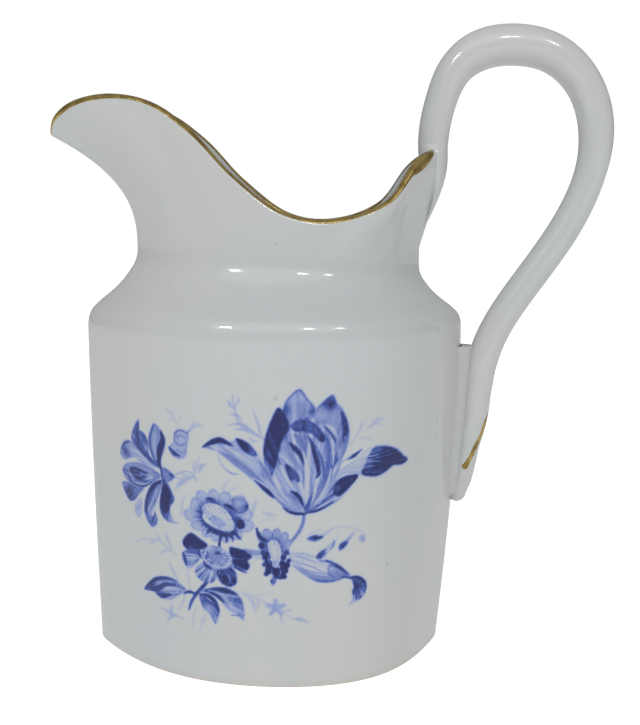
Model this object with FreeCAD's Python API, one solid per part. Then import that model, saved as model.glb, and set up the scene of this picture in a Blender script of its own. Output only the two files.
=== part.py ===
"""Porcelain cream jug: an oval vessel with a helmet spout and a high loop handle.

Frame: millimetres, +Z up, the spout towards -X and the handle towards +X. The
jug is alike on both sides of the XZ plane. Everything is worked out with x
measured from the middle of the foot; at the end it is moved along X, so that
the origin is on the table under the middle of the overall length.

The vessel wall is one formula, wall_point(turn, rise). turn goes round the jug
in degrees, 0 at the handle and 180 at the spout. rise goes up it: 0 is the
foot, 1 the throat and 2 the rim. Everything that touches the wall is made
from the same formula, so it follows any change of size.
"""

import FreeCAD
import Part
import math
import os

V = FreeCAD.Vector

# ---- driving dimensions, mm ------------------------------------------------

# Each outline of the vessel: reach towards the spout and towards the handle,
# and half the width across.
FOOT_FRONT, FOOT_BACK, FOOT_SIDE = 39.6, 39.6, 29.4
SHOULDER_FRONT, SHOULDER_BACK, SHOULDER_SIDE = 40.8, 44.4, 31.6
THROAT_FRONT, THROAT_BACK, THROAT_SIDE = 29.1, 34.6, 21.5
RIM_FRONT, RIM_BACK, RIM_SIDE = 47.3, 39.8, 20.5

SHOULDER_HEIGHT = 74.0
THROAT_HEIGHT = 91.5
SADDLE_HEIGHT = 97.0  # the rim's lowest place, beside the mouth
SPOUT_TIP_HEIGHT = 116.2
SPOUT_CREST_HEIGHT = 123.2
BACK_PEAK_HEIGHT = 112.0  # the rim under the handle

VESSEL_STATION = 5.0  # where the vessel is widest, towards the handle
MOUTH_STATION = 8.0  # and where the rim is widest
SPOUT_LEAN = 2.6  # how late the spout leans out; 1 would be a straight slope
NOSE = 0.55  # how far the oval narrows to its front edge, 0 for none
TAIL = 0.65  # the same at the back
EDGE_KEENNESS = 10  # how near its ends the narrowing is
BACK_SHOULDER = 1.28  # how much more quickly the shoulder draws in at the back

WALL = 2.8
LIP = 2.2  # thickness of the wall at the rim
FLOOR = 3.4
FOOT_CHAMFER = 0.5
FOOT_RING_WIDTH = 2.8
FOOT_RECESS = 1.5
FOOT_RECESS_DRAFT = 0.5
FLOOR_CORNER = 4.0  # radius inside, between floor and wall

SLIP = 0.35  # bed of slip that a luted joint is stuck with
GILT = 0.12  # thickness drawn for the gold
GILT_ON_WALL = 0.5  # how far the rim's gold comes down outside the lip
GILT_AT_BACK = 1.7  # and how far near the handle's root

HANDLE_RISE = 24.2  # back of the rim to the rod's middle at the loop's top
HANDLE_TOP_STATION = 0.48  # where that top is between the root and the reach
HANDLE_REACH = 29.4  # back of the shoulder to the rod's furthest middle
HANDLE_REACH_HEIGHT = 5.5  # how far above the back of the rim that is
LANDING_HEIGHT = SHOULDER_HEIGHT - 11.5  # where the rod comes alongside the wall
LANDING_GAP = 1.0  # left there between rod and wall, and filled by the pad
ROOT_RADIUS = 3.3  # the rod's radius where it leaves the rim
ROOT_INSET = 0.2  # from the lip's inner edge inward to the rod's middle
ROOT_HEIGHT = 1.4  # how far above the rim the rod has that radius
ROOT_DEPTH = 5.5  # how far below that the rod's root goes on
LOOP_RADIUS = 4.5  # at the top of the loop
FALL_RADIUS = 3.5  # on its way down
END_RADIUS = 2.5  # near its lower end
HANDLE_END_HEIGHT = 0.47 * SHOULDER_HEIGHT

PAD_TOP = SHOULDER_HEIGHT - 4.6
PAD_BOTTOM = HANDLE_END_HEIGHT - 0.4
PAD_TOP_HALF, PAD_BOTTOM_HALF = 3.4, 4.6  # half its width at each end
PAD_TOP_REACH, PAD_BOTTOM_REACH = 3.0, 1.4  # how far it stands off the wall
PAD_BACK = 4.5  # how far it is carried into the wall before it is trimmed

STROKE = 1.0  # width of the gold line on the handle's lower end
STROKE_TOP = LANDING_HEIGHT - 8.5
STROKE_BOTTOM = HANDLE_END_HEIGHT + 6.2
ROOT_STROKE_TOP = BACK_PEAK_HEIGHT + 1.6

# ---- counts ---------------------------------------------------------------

RING_POINTS = 48
PAD_POINTS = 24
ROD_POINTS = 20
ROD_RINGS = 40


# ---- small helpers --------------------------------------------------------


def smooth_through(knots, at):
    """A smooth curve through knots [(x, y), ...], level at both its ends."""
    if at <= knots[0][0]:
        return knots[0][1]
    if at >= knots[-1][0]:
        return knots[-1][1]
    slopes = [0.0]
    for before, after in zip(knots, knots[2:]):
        slopes.append((after[1] - before[1]) / (after[0] - before[0]))
    slopes.append(0.0)
    for i in range(len(knots) - 1):
        (x0, y0), (x1, y1) = knots[i], knots[i + 1]
        if at <= x1:
            span = x1 - x0
            t = (at - x0) / span
            return (
                y0 * (2 * t**3 - 3 * t**2 + 1)
                + slopes[i] * span * (t**3 - 2 * t**2 + t)
                + y1 * (3 * t**2 - 2 * t**3)
                + slopes[i + 1] * span * (t**3 - t**2)
            )


def mix(a, b, share):
    return a + (b - a) * share


# ---- the vessel wall ------------------------------------------------------

# How far the shoulder has drawn in towards the throat, against the share of
# the height between them.
SHOULDER_PROFILE = [
    (0.0, 0.0),
    (0.2, 0.07),
    (0.33, 0.25),
    (0.46, 0.49),
    (0.59, 0.69),
    (0.72, 0.84),
    (0.85, 0.955),
    (1.0, 1.0),
]

# The rim's half width as a share of an oval's, against the turn: it closes in
# to the handle's root at the back and to the spout's channel in front.
RIM_NARROWING = [
    (0, 0.45),
    (30, 0.55),
    (45, 0.74),
    (60, 0.91),
    (80, 1.0),
    (100, 1.0),
    (115, 0.93),
    (130, 0.80),
    (145, 0.70),
    (160, 0.62),
    (180, 0.55),
]


def rim_height(turn):
    """Height of the rim against the turn, level at the handle and the tip."""
    up_to_peak = BACK_PEAK_HEIGHT - SADDLE_HEIGHT
    up_to_crest = SPOUT_CREST_HEIGHT - SADDLE_HEIGHT
    knots = [
        (0, BACK_PEAK_HEIGHT),
        (30, SADDLE_HEIGHT + 0.985 * up_to_peak),
        (45, SADDLE_HEIGHT + 0.79 * up_to_peak),
        (60, SADDLE_HEIGHT + 0.27 * up_to_peak),
        (80, SADDLE_HEIGHT),
        (95, SADDLE_HEIGHT + 0.063 * up_to_crest),
        (108, SADDLE_HEIGHT + 0.365 * up_to_crest),
        (118, SADDLE_HEIGHT + 0.70 * up_to_crest),
        (128, SADDLE_HEIGHT + 0.92 * up_to_crest),
        (140, SPOUT_CREST_HEIGHT),
        (155, SPOUT_CREST_HEIGHT - 0.16 * (SPOUT_CREST_HEIGHT - SPOUT_TIP_HEIGHT)),
        (170, SPOUT_CREST_HEIGHT - 0.62 * (SPOUT_CREST_HEIGHT - SPOUT_TIP_HEIGHT)),
        (180, SPOUT_TIP_HEIGHT),
    ]
    return smooth_through(knots, turn)


def oval(turn, front, back, side, station, narrowing):
    """A point on an outline whose widest place is at station."""
    a = math.radians(turn)
    middle = (back - front) / 2
    shift = (middle - station) / 2
    x = middle - shift + (front + back) / 2 * math.cos(a) + shift * math.cos(2 * a)
    return x, side * math.sin(a) * narrowing


def vessel_narrowing(turn):
    a = math.radians(turn)
    nose = ((1 - math.cos(a)) / 2) ** EDGE_KEENNESS
    tail = ((1 + math.cos(a)) / 2) ** EDGE_KEENNESS
    return 1 - NOSE * nose - TAIL * tail


def vessel_sizes(turn, height):
    """Front, back and side reach of the vessel at a height below the throat."""
    swell = math.sin(math.pi / 2 * min(height / SHOULDER_HEIGHT, 1.0))
    drawn = 0.0
    if height > SHOULDER_HEIGHT:
        share = (height - SHOULDER_HEIGHT) / (THROAT_HEIGHT - SHOULDER_HEIGHT)
        backward = (1 + math.cos(math.radians(turn))) / 2
        drawn = smooth_through(SHOULDER_PROFILE, share * mix(1, BACK_SHOULDER, backward))
    sizes = []
    for foot, shoulder, throat in (
        (FOOT_FRONT, SHOULDER_FRONT, THROAT_FRONT),
        (FOOT_BACK, SHOULDER_BACK, THROAT_BACK),
        (FOOT_SIDE, SHOULDER_SIDE, THROAT_SIDE),
    ):
        sizes.append(mix(mix(foot, shoulder, swell), throat, drawn))
    return sizes


def wall_point(turn, rise):
    """The vessel's outer surface."""
    folded = abs((turn + 180) % 360 - 180)
    hand = 1 if (turn % 360) <= 180 else -1
    if rise <= 1:
        height = rise * THROAT_HEIGHT
        sizes = vessel_sizes(folded, height)
        x, y = oval(folded, *sizes, VESSEL_STATION, vessel_narrowing(folded))
        return V(x, hand * y, height)
    s = rise - 1
    sizes = THROAT_FRONT, THROAT_BACK, THROAT_SIDE
    x0, y0 = oval(folded, *sizes, VESSEL_STATION, vessel_narrowing(folded))
    sizes = RIM_FRONT, RIM_BACK, RIM_SIDE
    narrowing = smooth_through(RIM_NARROWING, folded)
    x1, y1 = oval(folded, *sizes, MOUTH_STATION, narrowing)
    # The back leans out at once and the spout late.
    forward = ((1 - math.cos(math.radians(folded))) / 2) ** 2
    lean = mix(s + s**2 - s**3, s**SPOUT_LEAN, forward)
    z = mix(THROAT_HEIGHT, rim_height(folded), s)
    return V(mix(x0, x1, lean), hand * mix(y0, y1, lean), z)


def wall_normal(turn, rise):
    """Outward direction square to the wall in its upright section."""
    a = math.radians(turn)
    across = V(math.cos(a) * SHOULDER_SIDE, math.sin(a) * SHOULDER_BACK, 0)
    across.normalize()
    step = 0.01
    up = wall_point(turn, min(rise + step, 2)) - wall_point(turn, rise - step)
    normal = across * up.z - V(0, 0, 1) * up.dot(across)
    normal.normalize()
    return normal


def wall_up(turn, rise):
    """Direction along the wall upward, square to wall_normal."""
    normal = wall_normal(turn, rise)
    level = math.hypot(normal.x, normal.y)
    return V(-normal.x * normal.z / level, -normal.y * normal.z / level, level)


def lip_point(turn, angle, grow=0):
    """The rounded lip: angle 0 is its outer edge, 90 its top, 180 its inner."""
    normal, up = wall_normal(turn, 2), wall_up(turn, 2)
    middle = wall_point(turn, 2) - normal * (LIP / 2)
    a = math.radians(angle)
    return middle + (normal * math.cos(a) + up * math.sin(a)) * (LIP / 2 + grow)


def wall_thickness(rise):
    return mix(WALL, LIP, max(0, rise - 1))


# ---- shapes ---------------------------------------------------------------


def ring(points):
    """A closed smooth curve through points, all rings with the same knots."""
    shares = [i / len(points) for i in range(len(points) + 1)]
    curve = Part.BSplineCurve()
    curve.interpolate(Points=points, PeriodicFlag=True, Parameters=shares)
    return curve


def around(point_at):
    """A ring round the jug, from a function that gives a point for a turn."""
    turns = [360 * i / RING_POINTS for i in range(RING_POINTS)]
    return ring([point_at(turn) for turn in turns])


def stations(rings):
    """Where each ring lies along a skin: the mean distance travelled, 0 to 1."""
    at = [0.0]
    for before, after in zip(rings, rings[1:]):
        pairs = zip(before.getPoles(), after.getPoles())
        steps = [(b - a).Length for a, b in pairs]
        at.append(at[-1] + sum(steps) / len(steps))
    return [distance / at[-1] for distance in at]


def skin(rings, cuts=()):
    """Smooth faces through rings: each pole is carried on along its own curve.

    The skin is parted into halves, and at the rings whose numbers are in cuts.
    """
    along = stations(rings)
    tracks = []
    for column in zip(*[r.getPoles() for r in rings]):
        track = Part.BSplineCurve()
        if len(column) > 2:
            track.interpolate(Points=list(column), Parameters=along)
        else:
            track.buildFromPoles(list(column), False, 1)
        tracks.append(track)
    first, track = rings[0], tracks[0]
    surface = Part.BSplineSurface()
    surface.buildFromPolesMultsKnots(
        [t.getPoles() for t in tracks],
        first.getMultiplicities(),
        track.getMultiplicities(),
        first.getKnots(),
        track.getKnots(),
        True,
        False,
        first.Degree,
        track.Degree,
    )
    edges = [0] + list(cuts) + [len(rings) - 1]
    faces = []
    for low, high in zip(edges, edges[1:]):
        for begin in (0, 0.5):
            piece = surface.toShape(begin, begin + 0.5, along[low], along[high])
            faces.append(piece)
    return faces


def ruled(one, other):
    """Straight-ruled faces between two rings, in halves."""
    return skin([one, other])


def flat(a_ring):
    return Part.Face(Part.Wire(a_ring.toShape()))


def closed_solid(faces):
    shell = Part.makeShell(faces)
    shell.sewShape()
    solid = Part.makeSolid(shell)
    if solid.Volume < 0:
        solid.reverse()
    return solid


def outer_rises(lowest):
    below = [lowest, 0.12, 0.3, 0.5, 0.66, 0.76]
    shoulder = [0.8, 0.83, 0.86, 0.89, 0.92, 0.95, 0.975]
    neck = [1, 1.05, 1.12, 1.2, 1.3, 1.42, 1.55, 1.68, 1.8]
    return below + shoulder + neck


def level_outline(height, inset):
    """The vessel's outline at a height below the shoulder, drawn in by inset."""
    rise = height / THROAT_HEIGHT

    def point(turn):
        at = wall_point(turn, rise)
        normal = wall_normal(turn, max(rise, 0.02))
        return V(at.x - normal.x * inset, at.y - normal.y * inset, height)

    return around(point)


def vessel_rings(grow, lowest):
    """Rings up the outside of the vessel and over the outer half of the lip."""
    rings = []
    for rise in outer_rises(lowest):
        rings.append(
            around(lambda turn: wall_point(turn, rise) + wall_normal(turn, rise) * grow)
        )
    for angle in (None, 0, 45, 90, 135):
        rings.append(around(lambda turn: rim_point(turn, angle, grow)))
    return rings


def rim_point(turn, angle, grow):
    """A point of the lip, or for no angle the lower edge of the rim's gold."""
    if angle is not None:
        return lip_point(turn, angle, grow)
    folded = abs((turn + 180) % 360 - 180)
    backward = smooth_through([(0, 1), (38, 1), (62, 0)], folded)
    down = mix(GILT_ON_WALL, GILT_AT_BACK, backward)
    return lip_point(turn, 0, grow) - wall_up(turn, 2) * down


def body_rings():
    """Every ring of the vessel's skin: up the outside, over the lip, down inside.

    Also gives the numbers of the two rings that the rim's gold lies between.
    """
    lowest = FOOT_CHAMFER / THROAT_HEIGHT
    rings = vessel_rings(0, lowest)
    gold = [len(rings) - 5, len(rings)]
    rings.append(around(lambda turn: lip_point(turn, 180)))
    for rise in reversed(outer_rises(lowest)):
        if rise * THROAT_HEIGHT > FLOOR + FLOOR_CORNER:
            rings.append(inner_ring(rise, 0))
    for angle in (0, 30, 60, 90):
        a = math.radians(angle)
        height = FLOOR + FLOOR_CORNER * (1 - math.sin(a))
        rings.append(level_outline(height, WALL + FLOOR_CORNER * (1 - math.cos(a))))
    return rings, gold


def inner_ring(rise, grow):
    thick = wall_thickness(rise) + grow
    return around(lambda turn: wall_point(turn, rise) - wall_normal(turn, rise) * thick)


def jug_body():
    """The cast vessel with its spout, lip, floor and foot ring."""
    rings, gold = body_rings()
    foot = level_outline(0, FOOT_CHAMFER)
    faces = skin(rings, gold) + ruled(foot, rings[0])
    faces += [flat(foot), flat(rings[-1])]
    return closed_solid(faces).cut(foot_recess())


def foot_recess():
    """The shallow hollow that leaves a ring for the jug to stand on."""
    mouth = level_outline(0, FOOT_CHAMFER + FOOT_RING_WIDTH)
    inset = FOOT_CHAMFER + FOOT_RING_WIDTH + FOOT_RECESS_DRAFT
    ceiling = level_outline(FOOT_RECESS, inset)
    return closed_solid(ruled(mouth, ceiling) + [flat(mouth), flat(ceiling)])


def swollen_vessel(grow):
    """The vessel as a block, larger all over by grow, to trim things against."""
    low = 0.1
    rings = vessel_rings(grow, low)
    rings[0] = level_outline(low * THROAT_HEIGHT, -grow)
    rings.append(inner_ring(2, grow))
    for rise in reversed(outer_rises(low)):
        if rise > 1:
            rings.append(inner_ring(rise, grow))
    rings.append(level_outline(THROAT_HEIGHT, WALL + grow))
    return closed_solid(skin(rings) + [flat(rings[0]), flat(rings[-1])])


def back_of_wall(height):
    return wall_point(0, height / THROAT_HEIGHT).x


def rod_knots():
    """The handle's middle line: (x, z, radius) from the rim round to its end."""
    root_x, root_z = RIM_BACK - LIP - ROOT_INSET, BACK_PEAK_HEIGHT + ROOT_HEIGHT
    top_z = BACK_PEAK_HEIGHT + HANDLE_RISE
    far_x, far_z = SHOULDER_BACK + HANDLE_REACH, BACK_PEAK_HEIGHT + HANDLE_REACH_HEIGHT
    top_x = mix(root_x, far_x, HANDLE_TOP_STATION)
    land_x = back_of_wall(LANDING_HEIGHT) + LANDING_GAP + FALL_RADIUS
    land_z = LANDING_HEIGHT
    knots = [(root_x + 2 * ROOT_INSET, root_z - ROOT_DEPTH, 0.8 * ROOT_RADIUS)]
    knots.append((root_x, root_z, ROOT_RADIUS))
    for across, up, thick in ((0.12, 0.53, 0.2), (0.27, 0.765, 0.5), (0.56, 0.94, 0.9)):
        radius = mix(ROOT_RADIUS, LOOP_RADIUS, thick)
        knots.append((mix(root_x, top_x, across), mix(root_z, top_z, up), radius))
    knots.append((top_x, top_z, LOOP_RADIUS))
    for across, down, thin in ((0.46, 0.10, 0.15), (0.84, 0.46, 0.4)):
        radius = mix(LOOP_RADIUS, FALL_RADIUS, thin)
        knots.append((mix(top_x, far_x, across), mix(top_z, far_z, down), radius))
    knots.append((far_x, far_z, mix(LOOP_RADIUS, FALL_RADIUS, 0.6)))
    for back, down in ((0.045, 0.173), (0.29, 0.418), (0.69, 0.68), (0.89, 0.835)):
        knots.append((mix(far_x, land_x, back), mix(far_z, land_z, down), FALL_RADIUS))
    knots.append((land_x, land_z, FALL_RADIUS))
    for share, clear, radius in ((0.37, 0.2, 0.95), (0.62, -0.5, 0.86), (0.87, -0.6, 0.72)):
        z = mix(land_z, HANDLE_END_HEIGHT, share)
        x = back_of_wall(z) + clear + FALL_RADIUS * radius
        knots.append((x, z, FALL_RADIUS * radius))
    end_x = back_of_wall(HANDLE_END_HEIGHT) + 0.5 * END_RADIUS
    knots.append((end_x, HANDLE_END_HEIGHT, 0.85 * END_RADIUS))
    return knots


def rod_rings(grow):
    """Rings along the handle, rounded off at its lower end."""
    knots = rod_knots()
    line = Part.BSplineCurve()
    line.interpolate([V(x, 0, z) for x, z, radius in knots])
    marks = [(line.parameter(V(x, 0, z)), radius) for x, z, radius in knots]
    begin, end = marks[0][0], marks[-1][0]
    rings = []
    for i in range(ROD_RINGS + 1):
        share = i / ROD_RINGS
        at = mix(begin, end, share)
        middle = line.value(at)
        tangent = line.tangent(at)[0]
        tangent.normalize()
        outward = V(tangent.z, 0, -tangent.x)
        radius = smooth_through(marks, at)
        rings.append(rod_ring(middle, outward, radius + grow))
    for draw in (0.5, 0.8, 0.95):
        at = middle + tangent * radius * draw
        drawn = radius * math.sqrt(1 - draw**2) + grow
        rings.append(rod_ring(at, outward, drawn))
    return rings


def rod_ring(middle, outward, radius):
    points = []
    for i in range(ROD_POINTS):
        a = 2 * math.pi * i / ROD_POINTS
        points.append(middle + outward * (radius * math.cos(a)) + V(0, radius * math.sin(a), 0))
    return ring(points)


def rod(grow=0):
    rings = rod_rings(grow)
    return closed_solid(skin(rings) + [flat(rings[0]), flat(rings[-1])])


def pad():
    """The clay pad that fills in between the handle's lower end and the wall."""
    rounding = 0.8  # the share of its height below which its sides draw in
    rings = []
    for share in (0, 0.12, 0.35, 0.6, rounding, 0.93, 1):
        spread = smooth_through([(0, 0), (rounding, 1)], share)
        half = mix(PAD_TOP_HALF, PAD_BOTTOM_HALF, spread)
        if share > rounding:
            half *= math.sqrt(1 - ((share - rounding) / (1.1 - 1.1 * rounding)) ** 2)
        reach = mix(PAD_TOP_REACH, PAD_BOTTOM_REACH, share)
        rings.append(pad_ring(mix(PAD_TOP, PAD_BOTTOM, share), half, reach))
    return closed_solid(skin(rings) + [flat(rings[0]), flat(rings[-1])])


def pad_ring(z, half, reach):
    wall = back_of_wall(z)
    middle, radius = wall + (reach - PAD_BACK) / 2, (reach + PAD_BACK) / 2
    points = []
    for i in range(PAD_POINTS):
        a = 2 * math.pi * i / PAD_POINTS
        points.append(V(middle + radius * math.cos(a), half * math.sin(a), z))
    return ring(points)


def gilt_rim():
    """The rim's gold, lying on the very surface of the body's lip."""
    rings, (low, high) = body_rings()
    outer = vessel_rings(GILT, 1)[-5:]
    outer.append(around(lambda turn: lip_point(turn, 180, GILT)))
    faces = skin(rings, (low, high))[2:4] + skin(outer)
    faces += ruled(rings[low], outer[0]) + ruled(rings[high], outer[-1])
    return closed_solid(faces)


def block_across(outline, half):
    """A block with an outline in the XZ plane, reaching half to either side."""
    points = [V(x, -half, z) for x, z in outline]
    face = Part.Face(Part.makePolygon(points + points[:1]))
    return face.extrude(V(0, 2 * half, 0))


def brush_outline(start, bend, end, width_start, width_end):
    """The outline of one brush stroke that bends, as it is seen from the side."""
    left, right = [], []
    steps = 8
    for i in range(steps + 1):
        t = i / steps
        x = mix(mix(start[0], bend[0], t), mix(bend[0], end[0], t), t)
        z = mix(mix(start[1], bend[1], t), mix(bend[1], end[1], t), t)
        dx = mix(bend[0] - start[0], end[0] - bend[0], t)
        dz = mix(bend[1] - start[1], end[1] - bend[1], t)
        half = mix(width_start, width_end, t**3) / 2 / math.hypot(dx, dz)
        left.append((x - dz * half, z + dx * half))
        right.append((x + dz * half, z - dx * half))
    return left + right[::-1]


def gilt_on_rod(outline, bare_rod, grown):
    """Gold painted on the handle inside an outline seen from the side."""
    half = 2 * LOOP_RADIUS
    return rod(GILT).common(block_across(outline, half)).cut(bare_rod).cut(grown)


def terminal_stroke(bare_rod, grown):
    """The V of gold round the back of the handle's lower end."""
    outside = back_of_wall(STROKE_TOP) + 2.2 * FALL_RADIUS
    start = (outside, STROKE_TOP + 1)
    bend = (back_of_wall(STROKE_BOTTOM) + 3.9, mix(STROKE_BOTTOM, STROKE_TOP, 0.2))
    end = (back_of_wall(STROKE_BOTTOM) + 1.9, STROKE_BOTTOM)
    outline = brush_outline(start, bend, end, STROKE, 1.5 * STROKE)
    return gilt_on_rod(outline, bare_rod, grown)


def root_stroke(bare_rod, grown, side):
    """The blunt end of the rim's gold, carried up one side of the handle's root."""
    x = RIM_BACK - LIP
    start = (x - 2.4, ROOT_STROKE_TOP - 6)
    bend = (x - 1.2, ROOT_STROKE_TOP - 3.5)
    end = (x - 0.6, ROOT_STROKE_TOP)
    outline = brush_outline(start, bend, end, 2.2 * STROKE, 2 * STROKE)
    both = gilt_on_rod(outline, bare_rod, grown)
    reach = 4 * LOOP_RADIUS
    corner = V(0, 0 if side > 0 else -reach, ROOT_STROKE_TOP - reach)
    half = Part.makeBox(4 * reach, reach, 2 * reach, corner)
    return both.common(half)


def largest(shape):
    """The shape without the crumbs that a cut may leave."""
    return max(shape.Solids, key=lambda solid: solid.Volume)


def luting(grown, body, bare_rod, bare_pad):
    """The two beds of slip: under the handle's root and behind its lower end."""
    bed = grown.common(bare_rod.fuse(bare_pad)).cut(body)
    middle = THROAT_HEIGHT
    far = 2 * (SHOULDER_BACK + HANDLE_REACH)
    above = Part.makeBox(far, far, far, V(0, -far / 2, middle))
    below = Part.makeBox(far, far, middle, V(0, -far / 2, 0))
    return largest(bed.common(above)), largest(bed.common(below))


def main():
    os.makedirs("parts", exist_ok=True)
    body = jug_body()
    grown = swollen_vessel(SLIP)
    bare_rod = rod()
    bare_pad = pad().cut(swollen_vessel(-WALL / 3))
    upper_slip, lower_slip = luting(grown, body, bare_rod, bare_pad)
    nodes = {
        "jug_body": body,
        "loop_handle": largest(bare_rod.cut(grown)),
        "handle_pad": largest(bare_pad.cut(bare_rod).cut(grown)),
        "upper_slip_joint": upper_slip,
        "lower_slip_joint": lower_slip,
        "gilt_rim_band": gilt_rim().cut(bare_rod),
        "gilt_root_stroke_left": root_stroke(bare_rod, grown, -1),
        "gilt_root_stroke_right": root_stroke(bare_rod, grown, 1),
        "gilt_terminal_stroke": terminal_stroke(bare_rod, grown),
    }
    furthest = max(x + radius for x, z, radius in rod_knots())
    middle = (furthest - RIM_FRONT - LIP / 2) / 2
    for name, shape in nodes.items():
        shape.translate(V(-middle, 0, 0))
        shape.exportStep("parts/%s.step" % name)


main()
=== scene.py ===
"""Porcelain cream jug: the finished looks of the part, piece by piece."""

import math
import random

import bmesh
import bpy
import numpy as np
from bpy.props import FloatProperty, FloatVectorProperty, PointerProperty
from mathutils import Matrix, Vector
from mathutils.bvhtree import BVHTree


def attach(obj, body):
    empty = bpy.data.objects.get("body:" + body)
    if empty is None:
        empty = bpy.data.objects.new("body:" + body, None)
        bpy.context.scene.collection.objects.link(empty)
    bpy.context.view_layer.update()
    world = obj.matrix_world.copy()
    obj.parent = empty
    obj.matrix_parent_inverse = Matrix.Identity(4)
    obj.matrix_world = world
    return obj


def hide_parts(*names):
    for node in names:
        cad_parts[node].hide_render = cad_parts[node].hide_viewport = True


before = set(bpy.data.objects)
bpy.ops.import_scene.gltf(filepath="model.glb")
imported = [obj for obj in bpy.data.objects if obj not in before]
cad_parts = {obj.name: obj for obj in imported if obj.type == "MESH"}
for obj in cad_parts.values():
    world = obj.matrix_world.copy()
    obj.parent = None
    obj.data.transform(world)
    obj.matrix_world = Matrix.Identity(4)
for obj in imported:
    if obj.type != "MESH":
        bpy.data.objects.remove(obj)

bl_info = {
    "name": "Porcelain cream jug",
    "version": (1, 0, 0),
    "blender": (4, 5, 0),
    "location": "3D View > Sidebar > Cream jug",
    "description": "Builds a painted porcelain cream jug on its CAD frame",
    "category": "Add Mesh",
}

MM = 0.001


# ---- sizes and colours ----------------------------------------------------


def outline_property(name, description, default):
    return FloatVectorProperty(
        name=name,
        description=description + ": reach to the spout, to the handle, half width",
        default=[value * MM for value in default],
        unit="LENGTH",
    )


def length_property(name, description, default):
    return FloatProperty(
        name=name, description=description, default=default * MM, unit="LENGTH"
    )


def colour_property(name, description, default):
    return FloatVectorProperty(
        name=name,
        description=description,
        default=default,
        subtype="COLOR",
        min=0.0,
        max=1.0,
    )


class JugSizes(bpy.types.PropertyGroup):
    foot: outline_property("Foot", "Outline at the table", (39.6, 39.6, 29.4))
    shoulder: outline_property("Shoulder", "Outline at the shoulder", (40.8, 44.4, 31.6))
    throat: outline_property("Throat", "Outline at the throat", (29.1, 34.6, 21.5))
    rim: outline_property("Rim", "Outline at the rim", (47.3, 39.8, 20.5))
    shoulder_height: length_property("Shoulder height", "Top of the upright wall", 74.0)
    throat_height: length_property("Throat height", "Narrowest height", 91.5)
    saddle_height: length_property("Saddle height", "Lowest place of the rim", 97.0)
    tip_height: length_property("Tip height", "Rim at the spout's tip", 116.2)
    crest_height: length_property("Crest height", "Highest place of the rim", 123.2)
    peak_height: length_property("Peak height", "Rim under the handle", 112.0)
    wall: length_property("Wall", "Thickness of the wall", 2.8)
    lip: length_property("Lip", "Thickness of the wall at the rim", 2.2)
    gold_width: length_property("Gold width", "Gold outside the lip near the handle", 1.1)


class JugColours(bpy.types.PropertyGroup):
    porcelain: colour_property("Porcelain", "Glazed white body", (0.60, 0.62, 0.62))
    bare_clay: colour_property("Bare clay", "Unglazed foot", (0.62, 0.59, 0.54))
    gold: colour_property("Gold", "Worn gilding", (0.46, 0.34, 0.12))
    cobalt_pale: colour_property("Pale cobalt", "Thin wash of blue", (0.30, 0.375, 0.66))
    cobalt_mid: colour_property("Cobalt", "Middle blue", (0.045, 0.10, 0.42))
    cobalt_deep: colour_property("Deep cobalt", "Thick blue", (0.0, 0.006, 0.11))


# ---- the vessel wall ------------------------------------------------------

VESSEL_STATION = 5.0 * MM
MOUTH_STATION = 8.0 * MM
SPOUT_LEAN = 2.6
NOSE, TAIL, EDGE_KEENNESS = 0.55, 0.65, 10
BACK_SHOULDER = 1.28
FLOOR, FLOOR_CORNER = 3.4 * MM, 4.0 * MM
FOOT_CHAMFER, FOOT_RING, FOOT_RECESS = 0.5 * MM, 2.8 * MM, 1.5 * MM
# share of the recess's depth, and millimetres inward of the foot ring's inner edge
RECESS_PROFILE = [(1, 2.4), (1, 0.9), (0.9, 0.45), (0.15, 0.12), (0, -0.1), (0, -1.2)]
SHOULDER_RISE = 0.76  # where the rings get closer, below the shoulder's bend
MIDDLE = 14.65 * MM  # from the middle of the foot to the frame's origin

SHOULDER_PROFILE = [
    (0.0, 0.0),
    (0.2, 0.07),
    (0.33, 0.25),
    (0.46, 0.49),
    (0.59, 0.69),
    (0.72, 0.84),
    (0.85, 0.955),
    (1.0, 1.0),
]
RIM_NARROWING = [
    (0, 0.45),
    (30, 0.55),
    (45, 0.74),
    (60, 0.91),
    (80, 1.0),
    (100, 1.0),
    (115, 0.93),
    (130, 0.80),
    (145, 0.70),
    (160, 0.62),
    (180, 0.55),
]


def mix(a, b, share):
    return a + (b - a) * share


def smooth_through(knots, at):
    """A smooth curve through knots [(x, y), ...], level at both its ends."""
    if at <= knots[0][0]:
        return knots[0][1]
    if at >= knots[-1][0]:
        return knots[-1][1]
    slopes = [0.0]
    for before, after in zip(knots, knots[2:]):
        slopes.append((after[1] - before[1]) / (after[0] - before[0]))
    slopes.append(0.0)
    for i in range(len(knots) - 1):
        (x0, y0), (x1, y1) = knots[i], knots[i + 1]
        if at <= x1:
            break
    span = x1 - x0
    t = (at - x0) / span
    return (
        y0 * (2 * t**3 - 3 * t**2 + 1)
        + slopes[i] * span * (t**3 - 2 * t**2 + t)
        + y1 * (3 * t**2 - 2 * t**3)
        + slopes[i + 1] * span * (t**3 - t**2)
    )


def oval(turn, sizes, station, narrowing):
    """A point on an outline whose widest place is at station."""
    front, back, side = sizes
    a = math.radians(turn)
    middle = (back - front) / 2
    shift = (middle - station) / 2
    x = middle - shift + (front + back) / 2 * math.cos(a) + shift * math.cos(2 * a)
    return x, side * math.sin(a) * narrowing


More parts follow.
